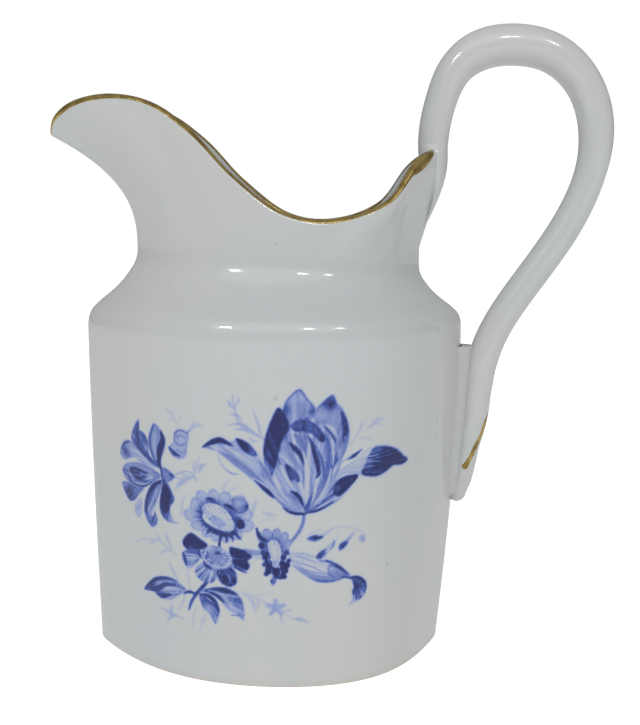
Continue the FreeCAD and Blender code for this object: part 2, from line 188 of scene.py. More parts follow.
class Wall:
    """The vessel's surface: turn goes round it in degrees, 0 at the handle.

    rise goes up it: 0 is the foot, 1 the throat and 2 the rim.
    """

    def __init__(self, sizes):
        for name in JugSizes.__annotations__:
            value = getattr(sizes, name)
            setattr(self, name, value if isinstance(value, float) else tuple(value))
        to_peak = self.peak_height - self.saddle_height
        to_crest = self.crest_height - self.saddle_height
        droop = self.crest_height - self.tip_height
        low = self.saddle_height
        self.rim_knots = [
            (0, self.peak_height),
            (30, low + 0.985 * to_peak),
            (45, low + 0.79 * to_peak),
            (60, low + 0.27 * to_peak),
            (80, low),
            (95, low + 0.063 * to_crest),
            (108, low + 0.365 * to_crest),
            (118, low + 0.70 * to_crest),
            (128, low + 0.92 * to_crest),
            (140, self.crest_height),
            (155, self.crest_height - 0.16 * droop),
            (170, self.crest_height - 0.62 * droop),
            (180, self.tip_height),
        ]

    def narrowing(self, turn):
        a = math.radians(turn)
        nose = ((1 - math.cos(a)) / 2) ** EDGE_KEENNESS
        tail = ((1 + math.cos(a)) / 2) ** EDGE_KEENNESS
        return 1 - NOSE * nose - TAIL * tail

    def outline(self, turn, height):
        swell = math.sin(math.pi / 2 * min(height / self.shoulder_height, 1.0))
        drawn = 0.0
        if height > self.shoulder_height:
            share = (height - self.shoulder_height) / (
                self.throat_height - self.shoulder_height
            )
            backward = (1 + math.cos(math.radians(turn))) / 2
            drawn = smooth_through(SHOULDER_PROFILE, share * mix(1, BACK_SHOULDER, backward))
        return [
            mix(mix(foot, shoulder, swell), throat, drawn)
            for foot, shoulder, throat in zip(self.foot, self.shoulder, self.throat)
        ]

    def point(self, turn, rise):
        folded = abs((turn + 180) % 360 - 180)
        hand = 1 if (turn % 360) <= 180 else -1
        if rise <= 1:
            height = rise * self.throat_height
            sizes = self.outline(folded, height)
            x, y = oval(folded, sizes, VESSEL_STATION, self.narrowing(folded))
            return Vector((x, hand * y, height))
        s = rise - 1
        x0, y0 = oval(folded, self.throat, VESSEL_STATION, self.narrowing(folded))
        narrow = smooth_through(RIM_NARROWING, folded)
        x1, y1 = oval(folded, self.rim, MOUTH_STATION, narrow)
        forward = ((1 - math.cos(math.radians(folded))) / 2) ** 2
        lean = mix(s + s**2 - s**3, s**SPOUT_LEAN, forward)
        z = mix(self.throat_height, smooth_through(self.rim_knots, folded), s)
        return Vector((mix(x0, x1, lean), hand * mix(y0, y1, lean), z))

    def upright(self, turns, height, proud):
        """Places round the wall at a height below the shoulder, for many turns."""
        a = np.radians(turns)
        front, back, side = self.outline(90, height)
        middle = (back - front) / 2
        shift = (middle - VESSEL_STATION) / 2
        nose = ((1 - np.cos(a)) / 2) ** EDGE_KEENNESS
        tail = ((1 + np.cos(a)) / 2) ** EDGE_KEENNESS
        x = middle - shift + (front + back) / 2 * np.cos(a) + shift * np.cos(2 * a)
        y = side * np.sin(a) * (1 - NOSE * nose - TAIL * tail)
        across = np.array([np.cos(a) * self.shoulder[2], np.sin(a) * self.shoulder[1]])
        across *= proud / np.hypot(*across)
        return np.column_stack([x + across[0], y + across[1], np.full(len(a), height)])

    def normal(self, turn, rise):
        """Outward direction square to the wall in its upright section."""
        a = math.radians(turn)
        across = Vector(
            (math.cos(a) * self.shoulder[2], math.sin(a) * self.shoulder[1], 0)
        ).normalized()
        step = 0.01
        up = self.point(turn, min(rise + step, 2)) - self.point(turn, rise - step)
        return (across * up.z - Vector((0, 0, 1)) * up.dot(across)).normalized()

    def up(self, turn, rise):
        normal = self.normal(turn, rise)
        level = math.hypot(normal.x, normal.y)
        return Vector((-normal.x * normal.z / level, -normal.y * normal.z / level, level))

    def lip_point(self, turn, angle, grow=0.0):
        """The rounded lip: angle 0 is its outer edge, 90 its top, 180 its inner."""
        normal, up = self.normal(turn, 2), self.up(turn, 2)
        middle = self.point(turn, 2) - normal * (self.lip / 2)
        a = math.radians(angle)
        reach = self.lip / 2 + grow
        return middle + (normal * math.cos(a) + up * math.sin(a)) * reach

    def thickness(self, rise):
        return mix(self.wall, self.lip, max(0, rise - 1))

    def inner(self, turn, rise):
        return self.point(turn, rise) - self.normal(turn, rise) * self.thickness(rise)

    def level(self, turn, height, inset):
        rise = height / self.throat_height
        at = self.point(turn, rise)
        normal = self.normal(turn, max(rise, 0.02))
        return Vector((at.x - normal.x * inset, at.y - normal.y * inset, height))


# ---- making pieces --------------------------------------------------------


def skin(rows, columns, point, ink=None):
    """A bmesh grid laid on point(row, column), joined where its sides meet."""
    bm = bmesh.new()
    cobalt = bm.verts.layers.float.new("cobalt") if ink is not None else None
    bmesh.ops.create_grid(bm, x_segments=columns, y_segments=rows, size=1)
    for vert in bm.verts:
        column = round((vert.co.x + 1) / 2 * columns)
        row = round((vert.co.y + 1) / 2 * rows)
        vert.co = point(row, column)
        if cobalt:
            vert[cobalt] = ink[row, column]
    bmesh.ops.remove_doubles(bm, verts=bm.verts, dist=1e-7)
    return bm


def cap_holes(bm):
    edges = [edge for edge in bm.edges if edge.is_boundary]
    bmesh.ops.holes_fill(bm, edges=edges, sides=0)


def finish_piece(bm, name, material, nodes=(), crease=50):
    """Turns a bmesh into a smooth piece that rides the jug."""
    bmesh.ops.recalc_face_normals(bm, faces=bm.faces)
    bmesh.ops.translate(bm, verts=bm.verts, vec=(-MIDDLE, 0, 0))
    mesh = bpy.data.meshes.new(name)
    bm.to_mesh(mesh)
    bm.free()
    mesh.materials.append(material)
    mesh.shade_smooth()
    mesh.set_sharp_from_angle(angle=math.radians(crease))
    piece = bpy.data.objects.new(name, mesh)
    bpy.context.scene.collection.objects.link(piece)
    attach(piece, "root")
    for node in nodes:
        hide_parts(node)


def wall_now():
    return Wall(bpy.context.scene.jug_sizes)


# ---- shader helpers -------------------------------------------------------


class Wire:
    """A socket of a shader tree that arithmetic can be written with."""

    def __init__(self, tree, socket):
        self.tree, self.socket = tree, socket

    def sum(self, operation, *values):
        settings = {"operation": operation}
        return self.tree.wire("ShaderNodeMath", settings, dict(enumerate(values)))

    def __add__(self, other):
        return self.sum("ADD", self, other)

    __radd__ = __add__

    def __sub__(self, other):
        return self.sum("SUBTRACT", self, other)

    def __rsub__(self, other):
        return self.sum("SUBTRACT", other, self)

    def __mul__(self, other):
        return self.sum("MULTIPLY", self, other)

    __rmul__ = __mul__

    def step(self, start, end, low=0.0, high=1.0):
        """Goes smoothly from low to high while the value goes from start to end."""
        return self.tree.wire(
            "ShaderNodeMapRange",
            {"interpolation_type": "SMOOTHSTEP"},
            {"Value": self, 1: start, 2: end, 3: low, 4: high},
        )

    def slope(self, start, end):
        """Goes straight from 0 to 1 while the value goes from start to end."""
        return self.tree.wire(
            "ShaderNodeMapRange", {}, {"Value": self, "From Min": start, "From Max": end}
        )


class Tree:
    """The nodes of a material or a world, and the one shader that they feed."""

    def __init__(self, owner, shader):
        owner.use_nodes = True
        self.tree = owner.node_tree
        self.shader = self.tree.nodes[shader]

    def node(self, kind, settings, sockets):
        node = self.tree.nodes.new(kind)
        for name, value in settings.items():
            setattr(node, name, value)
        for name, value in sockets.items():
            if isinstance(value, Wire):
                self.tree.links.new(value.socket, node.inputs[name])
            else:
                node.inputs[name].default_value = value
        return node

    def wire(self, kind, settings, sockets, output=0):
        return Wire(self, self.node(kind, settings, sockets).outputs[output])

    def feed(self, socket, wire):
        self.tree.links.new(wire.socket, self.shader.inputs[socket])


class Finish(Tree):
    """A material under construction."""

    def __init__(self, name, constants):
        self.material = bpy.data.materials.new(name)
        super().__init__(self.material, "Principled BSDF")
        for socket, value in constants.items():
            self.shader.inputs[socket].default_value = value
        self.place = self.wire("ShaderNodeTexCoord", {}, {}, "Object")

    def noise(self, per_metre, detail=3.0, roughness=0.55):
        sockets = {
            "Vector": self.place,
            "Scale": per_metre,
            "Detail": detail,
            "Roughness": roughness,
        }
        return self.wire("ShaderNodeTexNoise", {}, sockets, "Fac")

    def blend(self, share, first, second):
        sockets = {0: share, 6: first, 7: second}
        return self.wire("ShaderNodeMix", {"data_type": "RGBA"}, sockets, 2)

    def bump(self, height, distance, strength=1.0, under=None):
        sockets = {"Height": height, "Distance": distance, "Strength": strength}
        if under:
            sockets["Normal"] = under
        return self.wire("ShaderNodeBump", {}, sockets, "Normal")

    def axis(self, name):
        return self.wire("ShaderNodeSeparateXYZ", {}, {"Vector": self.place}, name)


def opaque(colour, strength=1.0):
    return (*[channel * strength for channel in colour], 1.0)


def grey(level):
    return opaque((level,) * 3)


def colours_now():
    return bpy.context.scene.jug_colours


# ---- finishes -------------------------------------------------------------


def specks(finish, per_metre, share, size):
    """Rare small dots scattered through the glaze: 1 in a dot, 0 elsewhere."""
    cells = {"Vector": finish.place, "Scale": per_metre}
    node = finish.node("ShaderNodeTexVoronoi", {}, cells)
    away = Wire(finish, node.outputs["Distance"])
    chance = finish.wire(
        "ShaderNodeSeparateColor", {}, {"Color": Wire(finish, node.outputs["Color"])}
    )
    return away.step(size, size * 0.4) * chance.step(share, share * 0.8)


def porcelain_colour(finish, base):
    """White ware: broad cool and warm clouds, a grey cast, and rare iron specks."""
    clouds = finish.noise(18.0, 4.0, 0.6)
    grain = finish.noise(700.0, 2.0, 0.5)
    cool = opaque((base[0] * 0.965, base[1] * 0.985, base[2] * 1.0))
    warm = opaque((base[0] * 1.02, base[1] * 1.01, base[2] * 0.985))
    colour = finish.blend(clouds.step(0.35, 0.65), cool, warm)
    colour = finish.blend(grain.step(0.35, 0.75) * 0.035, colour, opaque(base, 0.7))
    dots = specks(finish, 260.0, 0.045, 0.16)
    return finish.blend(dots * 0.3, colour, (0.24, 0.23, 0.20, 1.0))


def glaze_bump(finish):
    """The glaze lies in a faint, slow ripple with a finer orange peel on it."""
    slow = finish.bump(finish.noise(55.0, 2.0, 0.4), 0.00012)
    return finish.bump(finish.noise(900.0, 2.0, 0.5), 0.000004, 1.0, slow)


def glazed(name):
    gloss = {"Roughness": 0.09, "IOR": 1.5, "Coat Weight": 0.12, "Coat Roughness": 0.04}
    return Finish(name, gloss)


def glaze_wear(finish, low=0.07, high=0.17):
    """Fine rubbing leaves the gloss uneven."""
    rubbed = finish.noise(90.0, 5.0, 0.65)
    return rubbed.step(0.35, 0.8, low, high)


def body_porcelain():
    colours = colours_now()
    finish = glazed("Glazed porcelain")
    height = finish.axis("Z")
    colour = porcelain_colour(finish, colours.porcelain)
    ragged = finish.noise(400.0, 3.0, 0.6) * 0.0005
    bare = (height + ragged).step(0.0011, 0.0007)
    grime = finish.noise(1500.0, 3.0, 0.6).step(0.5, 0.8) * 0.5
    clay = finish.blend(grime, opaque(colours.bare_clay), opaque(colours.bare_clay, 0.6))
    # Painted shadow: a narrow greyer band round the wall just above the bare foot ring, where the foot
    # meets the table.
    dark_band = (height + ragged).step(0.0022, 0.0012) * 0.10
    colour = finish.blend(dark_band, colour, opaque((0.42, 0.44, 0.42)))
    finish.feed("Base Color", finish.blend(bare, colour, clay))
    finish.feed("Roughness", glaze_wear(finish) + bare * 0.55)
    finish.feed("Coat Weight", (1 - bare) * 0.12)
    finish.feed("Normal", glaze_bump(finish))
    return finish.material


def handle_porcelain():
    """The handle's lower part, near the wall, is mixed a little towards green-grey in mottled patches:
    painted shade.
    """
    finish = glazed("Handle porcelain")
    colour = porcelain_colour(finish, colours_now().porcelain)
    height = finish.axis("Z")
    # Painted shade: from about 105 mm down, the handle turns a little green-grey in patches where it
    # lies close to the wall.
    painted_shade_near_wall = height.step(0.105, 0.1) * 0.5 * finish.noise(120.0).step(0.3, 0.7)
    colour = finish.blend(painted_shade_near_wall * 0.12, colour, opaque((0.42, 0.44, 0.41)))
    finish.feed("Base Color", colour)
    finish.feed("Roughness", glaze_wear(finish))
    finish.feed("Normal", glaze_bump(finish))
    return finish.material


def slip_and_shade_glaze(name, tone):
    """The porcelain darkened by tone, as painted shade between handle and wall; where slip was wiped
    round a joint the glaze also pools thick and greyer.
    """
    finish = glazed(name)
    # tone darkens the whole colour: painted shade.
    base = [channel * tone for channel in colours_now().porcelain]
    colour = porcelain_colour(finish, base)
    pools = finish.noise(300.0, 3.0, 0.6).step(0.4, 0.7) * 0.16
    finish.feed("Base Color", finish.blend(pools, colour, opaque((0.40, 0.42, 0.40))))
    finish.feed("Roughness", glaze_wear(finish, 0.12, 0.25))
    finish.feed("Normal", glaze_bump(finish))
    return finish.material


def worn_gold():
    """Fired gold, burnished by hand and rubbed thin in places."""
    finish = Finish("Worn gold", {"Metallic": 1.0})
    gold = colours_now().gold
    patches = finish.noise(260.0, 4.0, 0.65)
    fine = finish.noise(2600.0, 3.0, 0.6)
    dark = opaque((gold[0] * 0.36, gold[1] * 0.34, gold[2] * 0.32))
    colour = finish.blend(patches.step(0.42, 0.66) * 0.75, opaque(gold), dark)
    colour = finish.blend(fine.step(0.5, 0.75) * 0.35, colour, opaque(gold, 1.35))
    rubbed = (patches * 0.5 + fine * 0.5).step(0.635, 0.68) * 0.7
    finish.feed("Base Color", finish.blend(rubbed, colour, opaque((0.5, 0.46, 0.36))))
    finish.feed("Metallic", 1 - rubbed)
    finish.feed("Roughness", fine.step(0.3, 0.8, 0.24, 0.42))
    finish.feed("Normal", finish.bump(fine, 0.00003, 0.8))
    return finish.material


# ---- vessel ---------------------------------------------------------------


def steps(start, end, count):
    return [mix(start, end, i / count) for i in range(1, count + 1)]


def vessel_rows(wall):
    """Rings from the recess under the foot, up outside, over the lip, down inside."""
    rows = []

    def level(height, inset):
        rows.append(lambda turn: wall.level(turn, height, inset))

    for share, inward in RECESS_PROFILE:
        level(FOOT_RECESS * share, FOOT_CHAMFER + FOOT_RING + inward * MM)
    for angle in (0, 30, 60, 90):
        a = math.radians(angle)
        level(FOOT_CHAMFER * (1 - math.cos(a)), FOOT_CHAMFER * (1 - math.sin(a)))
    low, bend = FOOT_CHAMFER / wall.throat_height, SHOULDER_RISE
    outside = steps(low, bend, 34) + steps(bend, 1.0, 26) + steps(1.0, 2.0, 34)
    for rise in outside[:-1]:
        rows.append(lambda turn, rise=rise: wall.point(turn, rise))
    for angle in range(0, 181, 18):
        rows.append(lambda turn, angle=angle: wall.lip_point(turn, angle))
    floor = (FLOOR + FLOOR_CORNER) / wall.throat_height
    inside = steps(2.0, 1.0, 30) + steps(1.0, bend, 14) + steps(bend, floor, 16)
    for rise in inside[:-1]:
        rows.append(lambda turn, rise=rise: wall.inner(turn, rise))
    for angle in (0, 22, 45, 68, 90):
        a = math.radians(angle)
        height = FLOOR + FLOOR_CORNER * (1 - math.sin(a))
        inset = wall.wall + FLOOR_CORNER * (1 - math.cos(a))
        rows.append(
            lambda turn, height=height, inset=inset: wall.level(turn, height, inset)
        )
    return rows


class BuildVessel(bpy.types.Operator):
    """Builds the cast vessel with its spout, lip, floor and foot ring"""

    bl_idname = "jug.vessel"
    bl_label = "Vessel"

    def execute(self, context):
        wall = wall_now()
        rows = vessel_rows(wall)
        columns = 240

        def point(row, column):
            return rows[row](360 * (column % columns) / columns)

        bm = skin(len(rows) - 1, columns, point)
        cap_holes(bm)
        finish_piece(bm, "vessel", body_porcelain(), ["jug_body"])
        return {"FINISHED"}


# ---- underglaze painting --------------------------------------------------
# Places are in millimetres: along the wall from its widest place towards the
# handle, and up from the table. A tone is how thick the cobalt lies, 0 to 1.


def rounded(points, closed):
    """More points along a smooth curve through the ones given."""
    points = np.array(points, float)
    if closed:
        padded = np.vstack([points[-1:], points, points[:2]])
    else:
        padded = np.vstack([points[:1], points, points[-1:]])
    curve = []
    for a, b, c, d in zip(padded, padded[1:], padded[2:], padded[3:]):
        for t in np.arange(0, 1, 1 / 6):
            lead = -a + 3 * b - 3 * c + d
            bow = 2 * a - 5 * b + 4 * c - d
            curve.append(0.5 * (2 * b + (c - a) * t + bow * t**2 + lead * t**3))
    if not closed:
        curve.append(points[-1])
    return np.array(curve)


def ramp(value, start, end):
    t = np.clip((value - start) / (end - start), 0, 1)
    return t * t * (3 - 2 * t)


def bristles(at, seed):
    """Uneven lines left by the hairs of a brush, -1 to 1, against at."""
    dice = random.Random(seed)
    marks = np.array([dice.uniform(-1, 1) for i in range(97)])
    low = np.floor(at).astype(int)
    t = ramp(at - low, 0, 1)
    return marks[low % 97] * (1 - t) + marks[(low + 1) % 97] * t


class Painting:
    """A patch of the wall, painted stroke over stroke."""

    def __init__(self, left, right, low, high, fine):
        self.columns, self.rows = round((right - left) / fine), round((high - low) / fine)
        self.along = np.linspace(left, right, self.columns + 1)
        self.up = np.linspace(low, high, self.rows + 1)
        self.ink = np.zeros((self.rows + 1, self.columns + 1))
        self.strokes = 0

    def window(self, points, margin):
        low, high = points.min(0) - margin, points.max(0) + margin
        across = slice(*np.searchsorted(self.along, (low[0], high[0])))
        upward = slice(*np.searchsorted(self.up, (low[1], high[1])))
        u, z = np.meshgrid(self.along[across], self.up[upward])
        self.strokes += 1
        return (upward, across), u, z

    def cover(self, part, tone, share):
        self.ink[part] += (tone - self.ink[part]) * share

    def wash(self, tone, outline, spots=(), heart=None, veins=0.13, soft=0.34, fine=0.7):
        """Fills a smooth outline; hairs of the brush fan out from heart."""
        edge = rounded(outline, True)
        part, u, z = self.window(edge, 1)
        ends = np.roll(edge, -1, axis=0)
        inside = np.zeros(u.shape, bool)
        away = np.full(u.shape, 1e9)
        for (u0, z0), (u1, z1) in zip(edge, ends):
            crosses = (z0 > z) != (z1 > z)
            with np.errstate(divide="ignore", invalid="ignore"):
                inside ^= crosses & (u < (u1 - u0) * (z - z0) / (z1 - z0) + u0)
            away = np.minimum(away, distance_to(u, z, u0, z0, u1, z1)[0])
        deep = np.where(inside, away, -away)
        value = np.full(u.shape, float(tone))
        for spot_u, spot_z, radius, spot_tone in spots:
            near = np.exp(-((u - spot_u) ** 2 + (z - spot_z) ** 2) / radius**2)
            value += (spot_tone - value) * near
        if heart:
            angle = np.arctan2(z - heart[1], u - heart[0])
            reach = np.hypot(u - heart[0], z - heart[1])
            lines = bristles(angle * 34 * fine + 60, self.strokes)
            lines += 0.6 * bristles(angle * 71 * fine + reach * 0.3 + 200, self.strokes + 50)
            value += lines * veins * ramp(reach, 0, 3) * (0.35 + value)
        dark_band = 0.10 * np.exp(-((deep - 0.25) ** 2) / 0.06)
        self.cover(part, np.clip(value + dark_band, 0.02, 1), ramp(deep, -soft, soft))

    def stroke(self, tone, points, *widths, soft=0.2, lines=0.15):
        """Draws along a smooth line; widths are spread evenly over its length."""
        line = rounded(points, False)
        part, u, z = self.window(line, max(widths) / 2 + 1)
        best = np.full(u.shape, 1e9)
        across = np.zeros(u.shape)
        share = np.linspace(0, 1, len(line))
        half = np.interp(share, np.linspace(0, 1, len(widths)), widths) / 2
        for i in range(len(line) - 1):
            away, t, side = distance_to(u, z, *line[i], *line[i + 1])
            outside = away - (half[i] + (half[i + 1] - half[i]) * t)
            across = np.where(outside < best, side, across)
            best = np.minimum(best, outside)
        hairs = bristles(across * 6 + 80, self.strokes) * lines
        share = ramp(-best, -soft, soft + 0.12 * max(widths))
        self.cover(part, np.clip(tone * (1 + hairs), 0, 1), share)

    def strokes_all(self, tone, soft, *lines):
        for line in lines:
            self.stroke(tone, line[:-1], *line[-1], soft=soft)

    def floret(self, centre, reach, roots, inner, tone, petals, seed):
        """A ring of petals round a centre, with dark hairs at their roots.

        reach and roots are knots against the angle in degrees: how far the
        petals go, and how dark they start. inner is the centre's half axes
        and tilt.
        """
        far = max(value for angle, value in reach)
        box = np.array(centre) + np.array([(-far, -far), (far, far)])
        part, u, z = self.window(box, 1)
        du, dz = u - centre[0], z - centre[1]
        angle = np.degrees(np.arctan2(dz, du)) % 360
        away = np.hypot(du, dz)
        long, short, tilt = inner
        turned = np.radians(angle - tilt)
        start = 1 / np.sqrt((np.cos(turned) / long) ** 2 + (np.sin(turned) / short) ** 2)
        edge = around_knots(reach, angle)
        dark = around_knots(roots, angle)
        notch = np.abs(np.sin(np.radians(angle) * petals / 2))
        edge = edge * (0.8 + 0.2 * notch**0.6)
        share = (away - start) / (edge - start)
        hairs = bristles(angle * 0.6, seed) + 0.6 * bristles(angle * 1.2, seed + 9)
        value = tone * (0.55 + 0.45 * (1 - share)) + 0.07 * hairs * (1 - 0.5 * share)
        rim = np.exp(-(((edge - away - 0.25) / 0.3) ** 2))
        value += 0.17 * rim + 0.3 * np.exp(-((notch / 0.2) ** 2)) * (1 - 0.6 * share)
        value += dark * ramp(share + 0.2 * hairs, 0.55, 0.0)
        cover = ramp(edge - away, -0.25, 0.3) * ramp(away - start, -0.15, 0.25)
        self.cover(part, np.clip(value, 0.03, 1), cover)

    def bleed(self, reach, amount):
        """The fired glaze carries a little blue out round the strokes."""
        fine = self.along[1] - self.along[0]
        ticks = np.arange(-3 * reach, 3 * reach + fine, fine)
        bell = np.exp(-((ticks / reach) ** 2))
        bell /= bell.sum()
        soft = self.ink
        for axis in (0, 1):
            soft = np.apply_along_axis(np.convolve, axis, soft, bell, "same")
        self.ink = self.ink + amount * soft * (1 - self.ink)


def around_knots(knots, angle):
    angles = [a for a, value in knots]
    values = [value for a, value in knots]
    return np.interp(angle, angles, values, period=360)


def distance_to(u, z, u0, z0, u1, z1):
    """Distance to a straight piece, the share along it, and the signed side."""
    du, dz = u1 - u0, z1 - z0
    long = max(math.hypot(du, dz), 1e-6)
    t = np.clip(((u - u0) * du + (z - z0) * dz) / long**2, 0, 1)
    away = np.hypot(u - u0 - t * du, z - z0 - t * dz)
    return away, t, ((z - z0) * du - (u - u0) * dz) / long


def paint_tulip(art):
    base = (4.3, 38.2)
    art.stroke(0.5, [(3.9, 38.4), (3.7, 36.6), (3, 34.8), (1.9, 33.2), (1, 32.2)], 0.8, 0.9, 0.7)
    # back petals
    art.wash(0.36, [(-0.6, 57), (-0.4, 60), (0.5, 62.4), (2.9, 64.4), (4.6, 62.3),
        (6.1, 60.4), (6.3, 57), (3, 55.5)], [(0.3, 60.2, 1.0, 0.6), (3.4, 62.6, 0.9, 0.22),
        (5.3, 59.6, 1.1, 0.6)], base)
    art.stroke(0.7, [(0.7, 62.2), (2.9, 64.2), (4.5, 62.3), (5.9, 60.5)], 0.2, 0.35, 0.2)
    art.wash(0.42, [(5, 56.5), (6.1, 60), (7.5, 61.6), (9.6, 63.1), (10.6, 61.2), (11.7, 60),
        (12.8, 57.2), (13.1, 54.5), (12.6, 52), (11.6, 49.5), (10.6, 46.8), (9, 50), (8, 54)],
        [(9.2, 61.2, 1.3, 0.9), (7.3, 59, 1.4, 0.25), (10.8, 51, 1.4, 0.3)], base)
    art.stroke(0.92, [(11.4, 59.4), (12, 57.5), (12.2, 55.5), (11.9, 53.2)], 0.5, 1.2, 1.3, 0.4)
    art.stroke(0.55, [(12.3, 54), (12.3, 52.3), (11.6, 50)], 0.9, 0.6, 0.3)
    # the cup
    art.wash(0.27, [(-2.9, 46.6), (-1.9, 50.5), (-0.2, 54), (0.8, 57), (3, 58.6), (5.6, 58.4),
        (8, 56.6), (9.8, 54), (10.6, 51), (10.9, 48), (10.5, 45.4), (9.5, 43), (8, 40.8),
        (6, 39), (4.4, 38.4), (2.5, 38.5), (0.5, 39.3), (-1, 41.5), (-2.2, 44)],
        [(-1.6, 49.6, 1.6, 0.4), (9.6, 49, 1.2, 0.42)], base, 0.35)
    art.stroke(0.55, [(8.3, 55), (8.9, 52), (8.9, 49), (8.1, 45), (6, 40)], 0.5, 2.2, 2, 1, 0.4)
    art.stroke(0.62, [(9.9, 50), (9.3, 46), (7.6, 42.4), (5.2, 39.2)], 0.2, 0.5, 0.5, 0.4)
    art.wash(0.72, [(1.1, 57), (3, 58), (5.2, 57.8), (7.2, 56), (8.1, 54), (7.3, 53.3),
        (5.8, 54.8), (4, 55.7), (2, 55.7)], [(7.6, 54.3, 0.8, 0.97), (2.4, 57, 1, 0.6)], base)
    art.stroke(0.5, [(2, 55), (3.2, 53.6), (3.8, 52)], 0.8, 1.7, 0.6)
    art.stroke(0.6, [(4.7, 54.6), (6.2, 52), (7.6, 49), (7.8, 46)], 0.4, 0.9, 0.9, 0.4)
    art.stroke(0.95, [(5, 54.3), (5.7, 52), (6.5, 49.5), (6.9, 47), (6.4, 45.9)], 0.3, 0.9, 1.3, 1, 0.3)
    art.stroke(0.3, [(6.3, 52), (7.1, 49.4), (7.4, 46.6)], 0.15, 0.25, 0.15)
    art.stroke(0.06, [(3.6, 51.4), (4.4, 48), (4.4, 44), (4.3, 40.4)], 0.5, 1.1, 1.1, 0.5)
    art.stroke(0.08, [(2.8, 44.9), (3.5, 43), (3.9, 40.8)], 0.8, 1.1, 0.4)
    art.stroke(0.97, [(0.9, 53.4), (2, 52.2), (3.1, 50.8), (3.9, 48.7)], 0.3, 1.2, 1.0, 0.2)
    art.stroke(0.45, [(-0.1, 52.3), (1.3, 50.8), (2.5, 48.8), (3.5, 46.8)], 0.4, 1, 0.8, 0.2)
    art.stroke(0.08, [(-0.9, 51.2), (0.4, 49.6), (1.6, 48.5)], 0.2, 0.6, 0.2)
    art.wash(0.74, [(0.1, 48.8), (1.3, 48.2), (2.6, 46.8), (3, 45.3), (1.9, 44.9), (0.8, 46)],
        [(0.4, 48.2, 0.7, 0.95)], base)
    art.stroke(0.4, [(1.9, 45.2), (2.6, 44), (3.4, 42.4)], 1.0, 0.7, 0.2)
    art.stroke(0.06, [(-0.8, 48.4), (0.3, 46), (1.4, 44.2), (2.2, 43.3)], 0.6, 0.8, 0.5, 0.2)
    art.stroke(0.97, [(1, 43.1), (2.2, 42.6), (3.1, 41.6), (3.8, 39.9)], 0.2, 0.9, 0.9, 0.3)
    art.stroke(0.5, [(0.6, 42.7), (1.8, 41.7), (3, 40.3)], 0.3, 0.9, 0.3)
    art.strokes_all(0.5, 0.16,
        [(-1.8, 47), (0.2, 43.2), (3.3, 39.4), (0.2, 0.3, 0.2)],
        [(-0.8, 44), (0.9, 41.6), (3, 39.3), (0.2, 0.4, 0.2)],
        [(5.4, 46.2), (5.5, 43.4), (5, 40), (0.2, 0.5, 0.3)],
        [(7.3, 45.8), (7, 43), (5.6, 40), (0.3, 0.6, 0.4)],
        [(8.9, 44.6), (7.8, 42.2), (5.8, 39.6), (0.2, 0.5, 0.4)])
    art.strokes_all(0.08, 0.14,
        [(6.3, 45.4), (6.2, 43), (5.3, 40.4), (0.3, 0.4, 0.2)],
        [(9.4, 47.6), (8.6, 44.2), (7.2, 41.6), (0.3, 0.5, 0.2)],
        [(8, 43.8), (7.2, 42), (6, 40.4), (0.2, 0.4, 0.2)],
        [(9.4, 53.6), (9.8, 51), (9.7, 48.4), (0.4, 0.5, 0.2)],
        [(-2.2, 45.6), (-0.6, 42.6), (1.4, 40.2), (0.4, 0.6, 0.2)])
    art.stroke(0.75, [(4.4, 39.5), (5, 41), (5.6, 42.8)], 1.3, 0.8, 0.2)
    art.stroke(0.92, [(7.9, 56.6), (9.1, 55.3), (9.9, 54), (10.3, 53)], 0.2, 0.3, 0.35, 0.2, soft=0.14)
    art.stroke(0.06, [(8.3, 56.9), (9.6, 56), (10.5, 54.4)], 0.3, 0.7, 0.3)
    # the dark petal on the left
    art.wash(1.0, [(-2.7, 46.4), (-3.9, 48.5), (-4.3, 51.5), (-3.8, 54.8), (-2.7, 58),
        (-1.2, 60.6), (0.3, 58.7), (0.9, 56.5), (0.1, 54.8), (-0.9, 52.5), (-1.5, 50),
        (-2, 48)], [(-3.6, 50.6, 1.0, 0.75), (-2.6, 47.4, 1.2, 0.6)], base, 0.1)
    art.stroke(0.42, [(-3.7, 49.4), (-3.2, 47), (-2.4, 44.6)], 0.5, 0.8, 0.3)
    # the long petal that falls to the left
    art.wash(0.24, [(3.6, 38.7), (0.5, 39.4), (-2, 41.4), (-6, 45), (-10, 48.3), (-14, 51.1),
        (-17.1, 51.7), (-15.5, 53.3), (-13, 54), (-11, 53.3), (-9.6, 54), (-7.5, 53.3),
        (-5.5, 51.2), (-4, 48.5), (-2.5, 45.5), (-0.5, 42.3), (2.5, 39.5)],
        [(-4, 47, 1.4, 0.42)], (5, 37), 0.2)
    art.stroke(0.46, [(-13.6, 51.2), (-9.8, 49), (-6.4, 46.4), (-3.6, 43.4)], 0.5, 1.9, 1.7, 0.5)
    art.stroke(0.5, [(-5.2, 49.6), (-3.9, 47.2), (-2.2, 44.4)], 0.3, 0.9, 0.2)
    art.stroke(0.98, [(-17.1, 51.8), (-15, 53), (-13.1, 53.5), (-10.7, 52.5)], 0.3, 1.3, 1.4, 0.4)
    art.wash(0.95, [(-9.9, 54), (-8.6, 53.8), (-7, 52.8), (-5.6, 50.7), (-7, 50.7), (-8.5, 51.6),
        (-9.4, 52.8)], [(-6.6, 51.1, 0.9, 0.55)], (-3, 46))
    art.stroke(1.0, [(-6.1, 45.4), (-4.4, 43.9), (-3.2, 42.9), (-2.3, 41.7)], 0.3, 1.0, 1.2, 0.3)
    art.stroke(0.55, [(-2.2, 42.2), (-0.4, 40.3), (1.4, 39.2)], 0.4, 0.5, 0.3)
    art.stroke(1.0, [(-0.4, 39.7), (0.9, 38.8), (2.3, 38.4), (4.1, 38.3)], 0.3, 0.65, 0.75, 0.4)
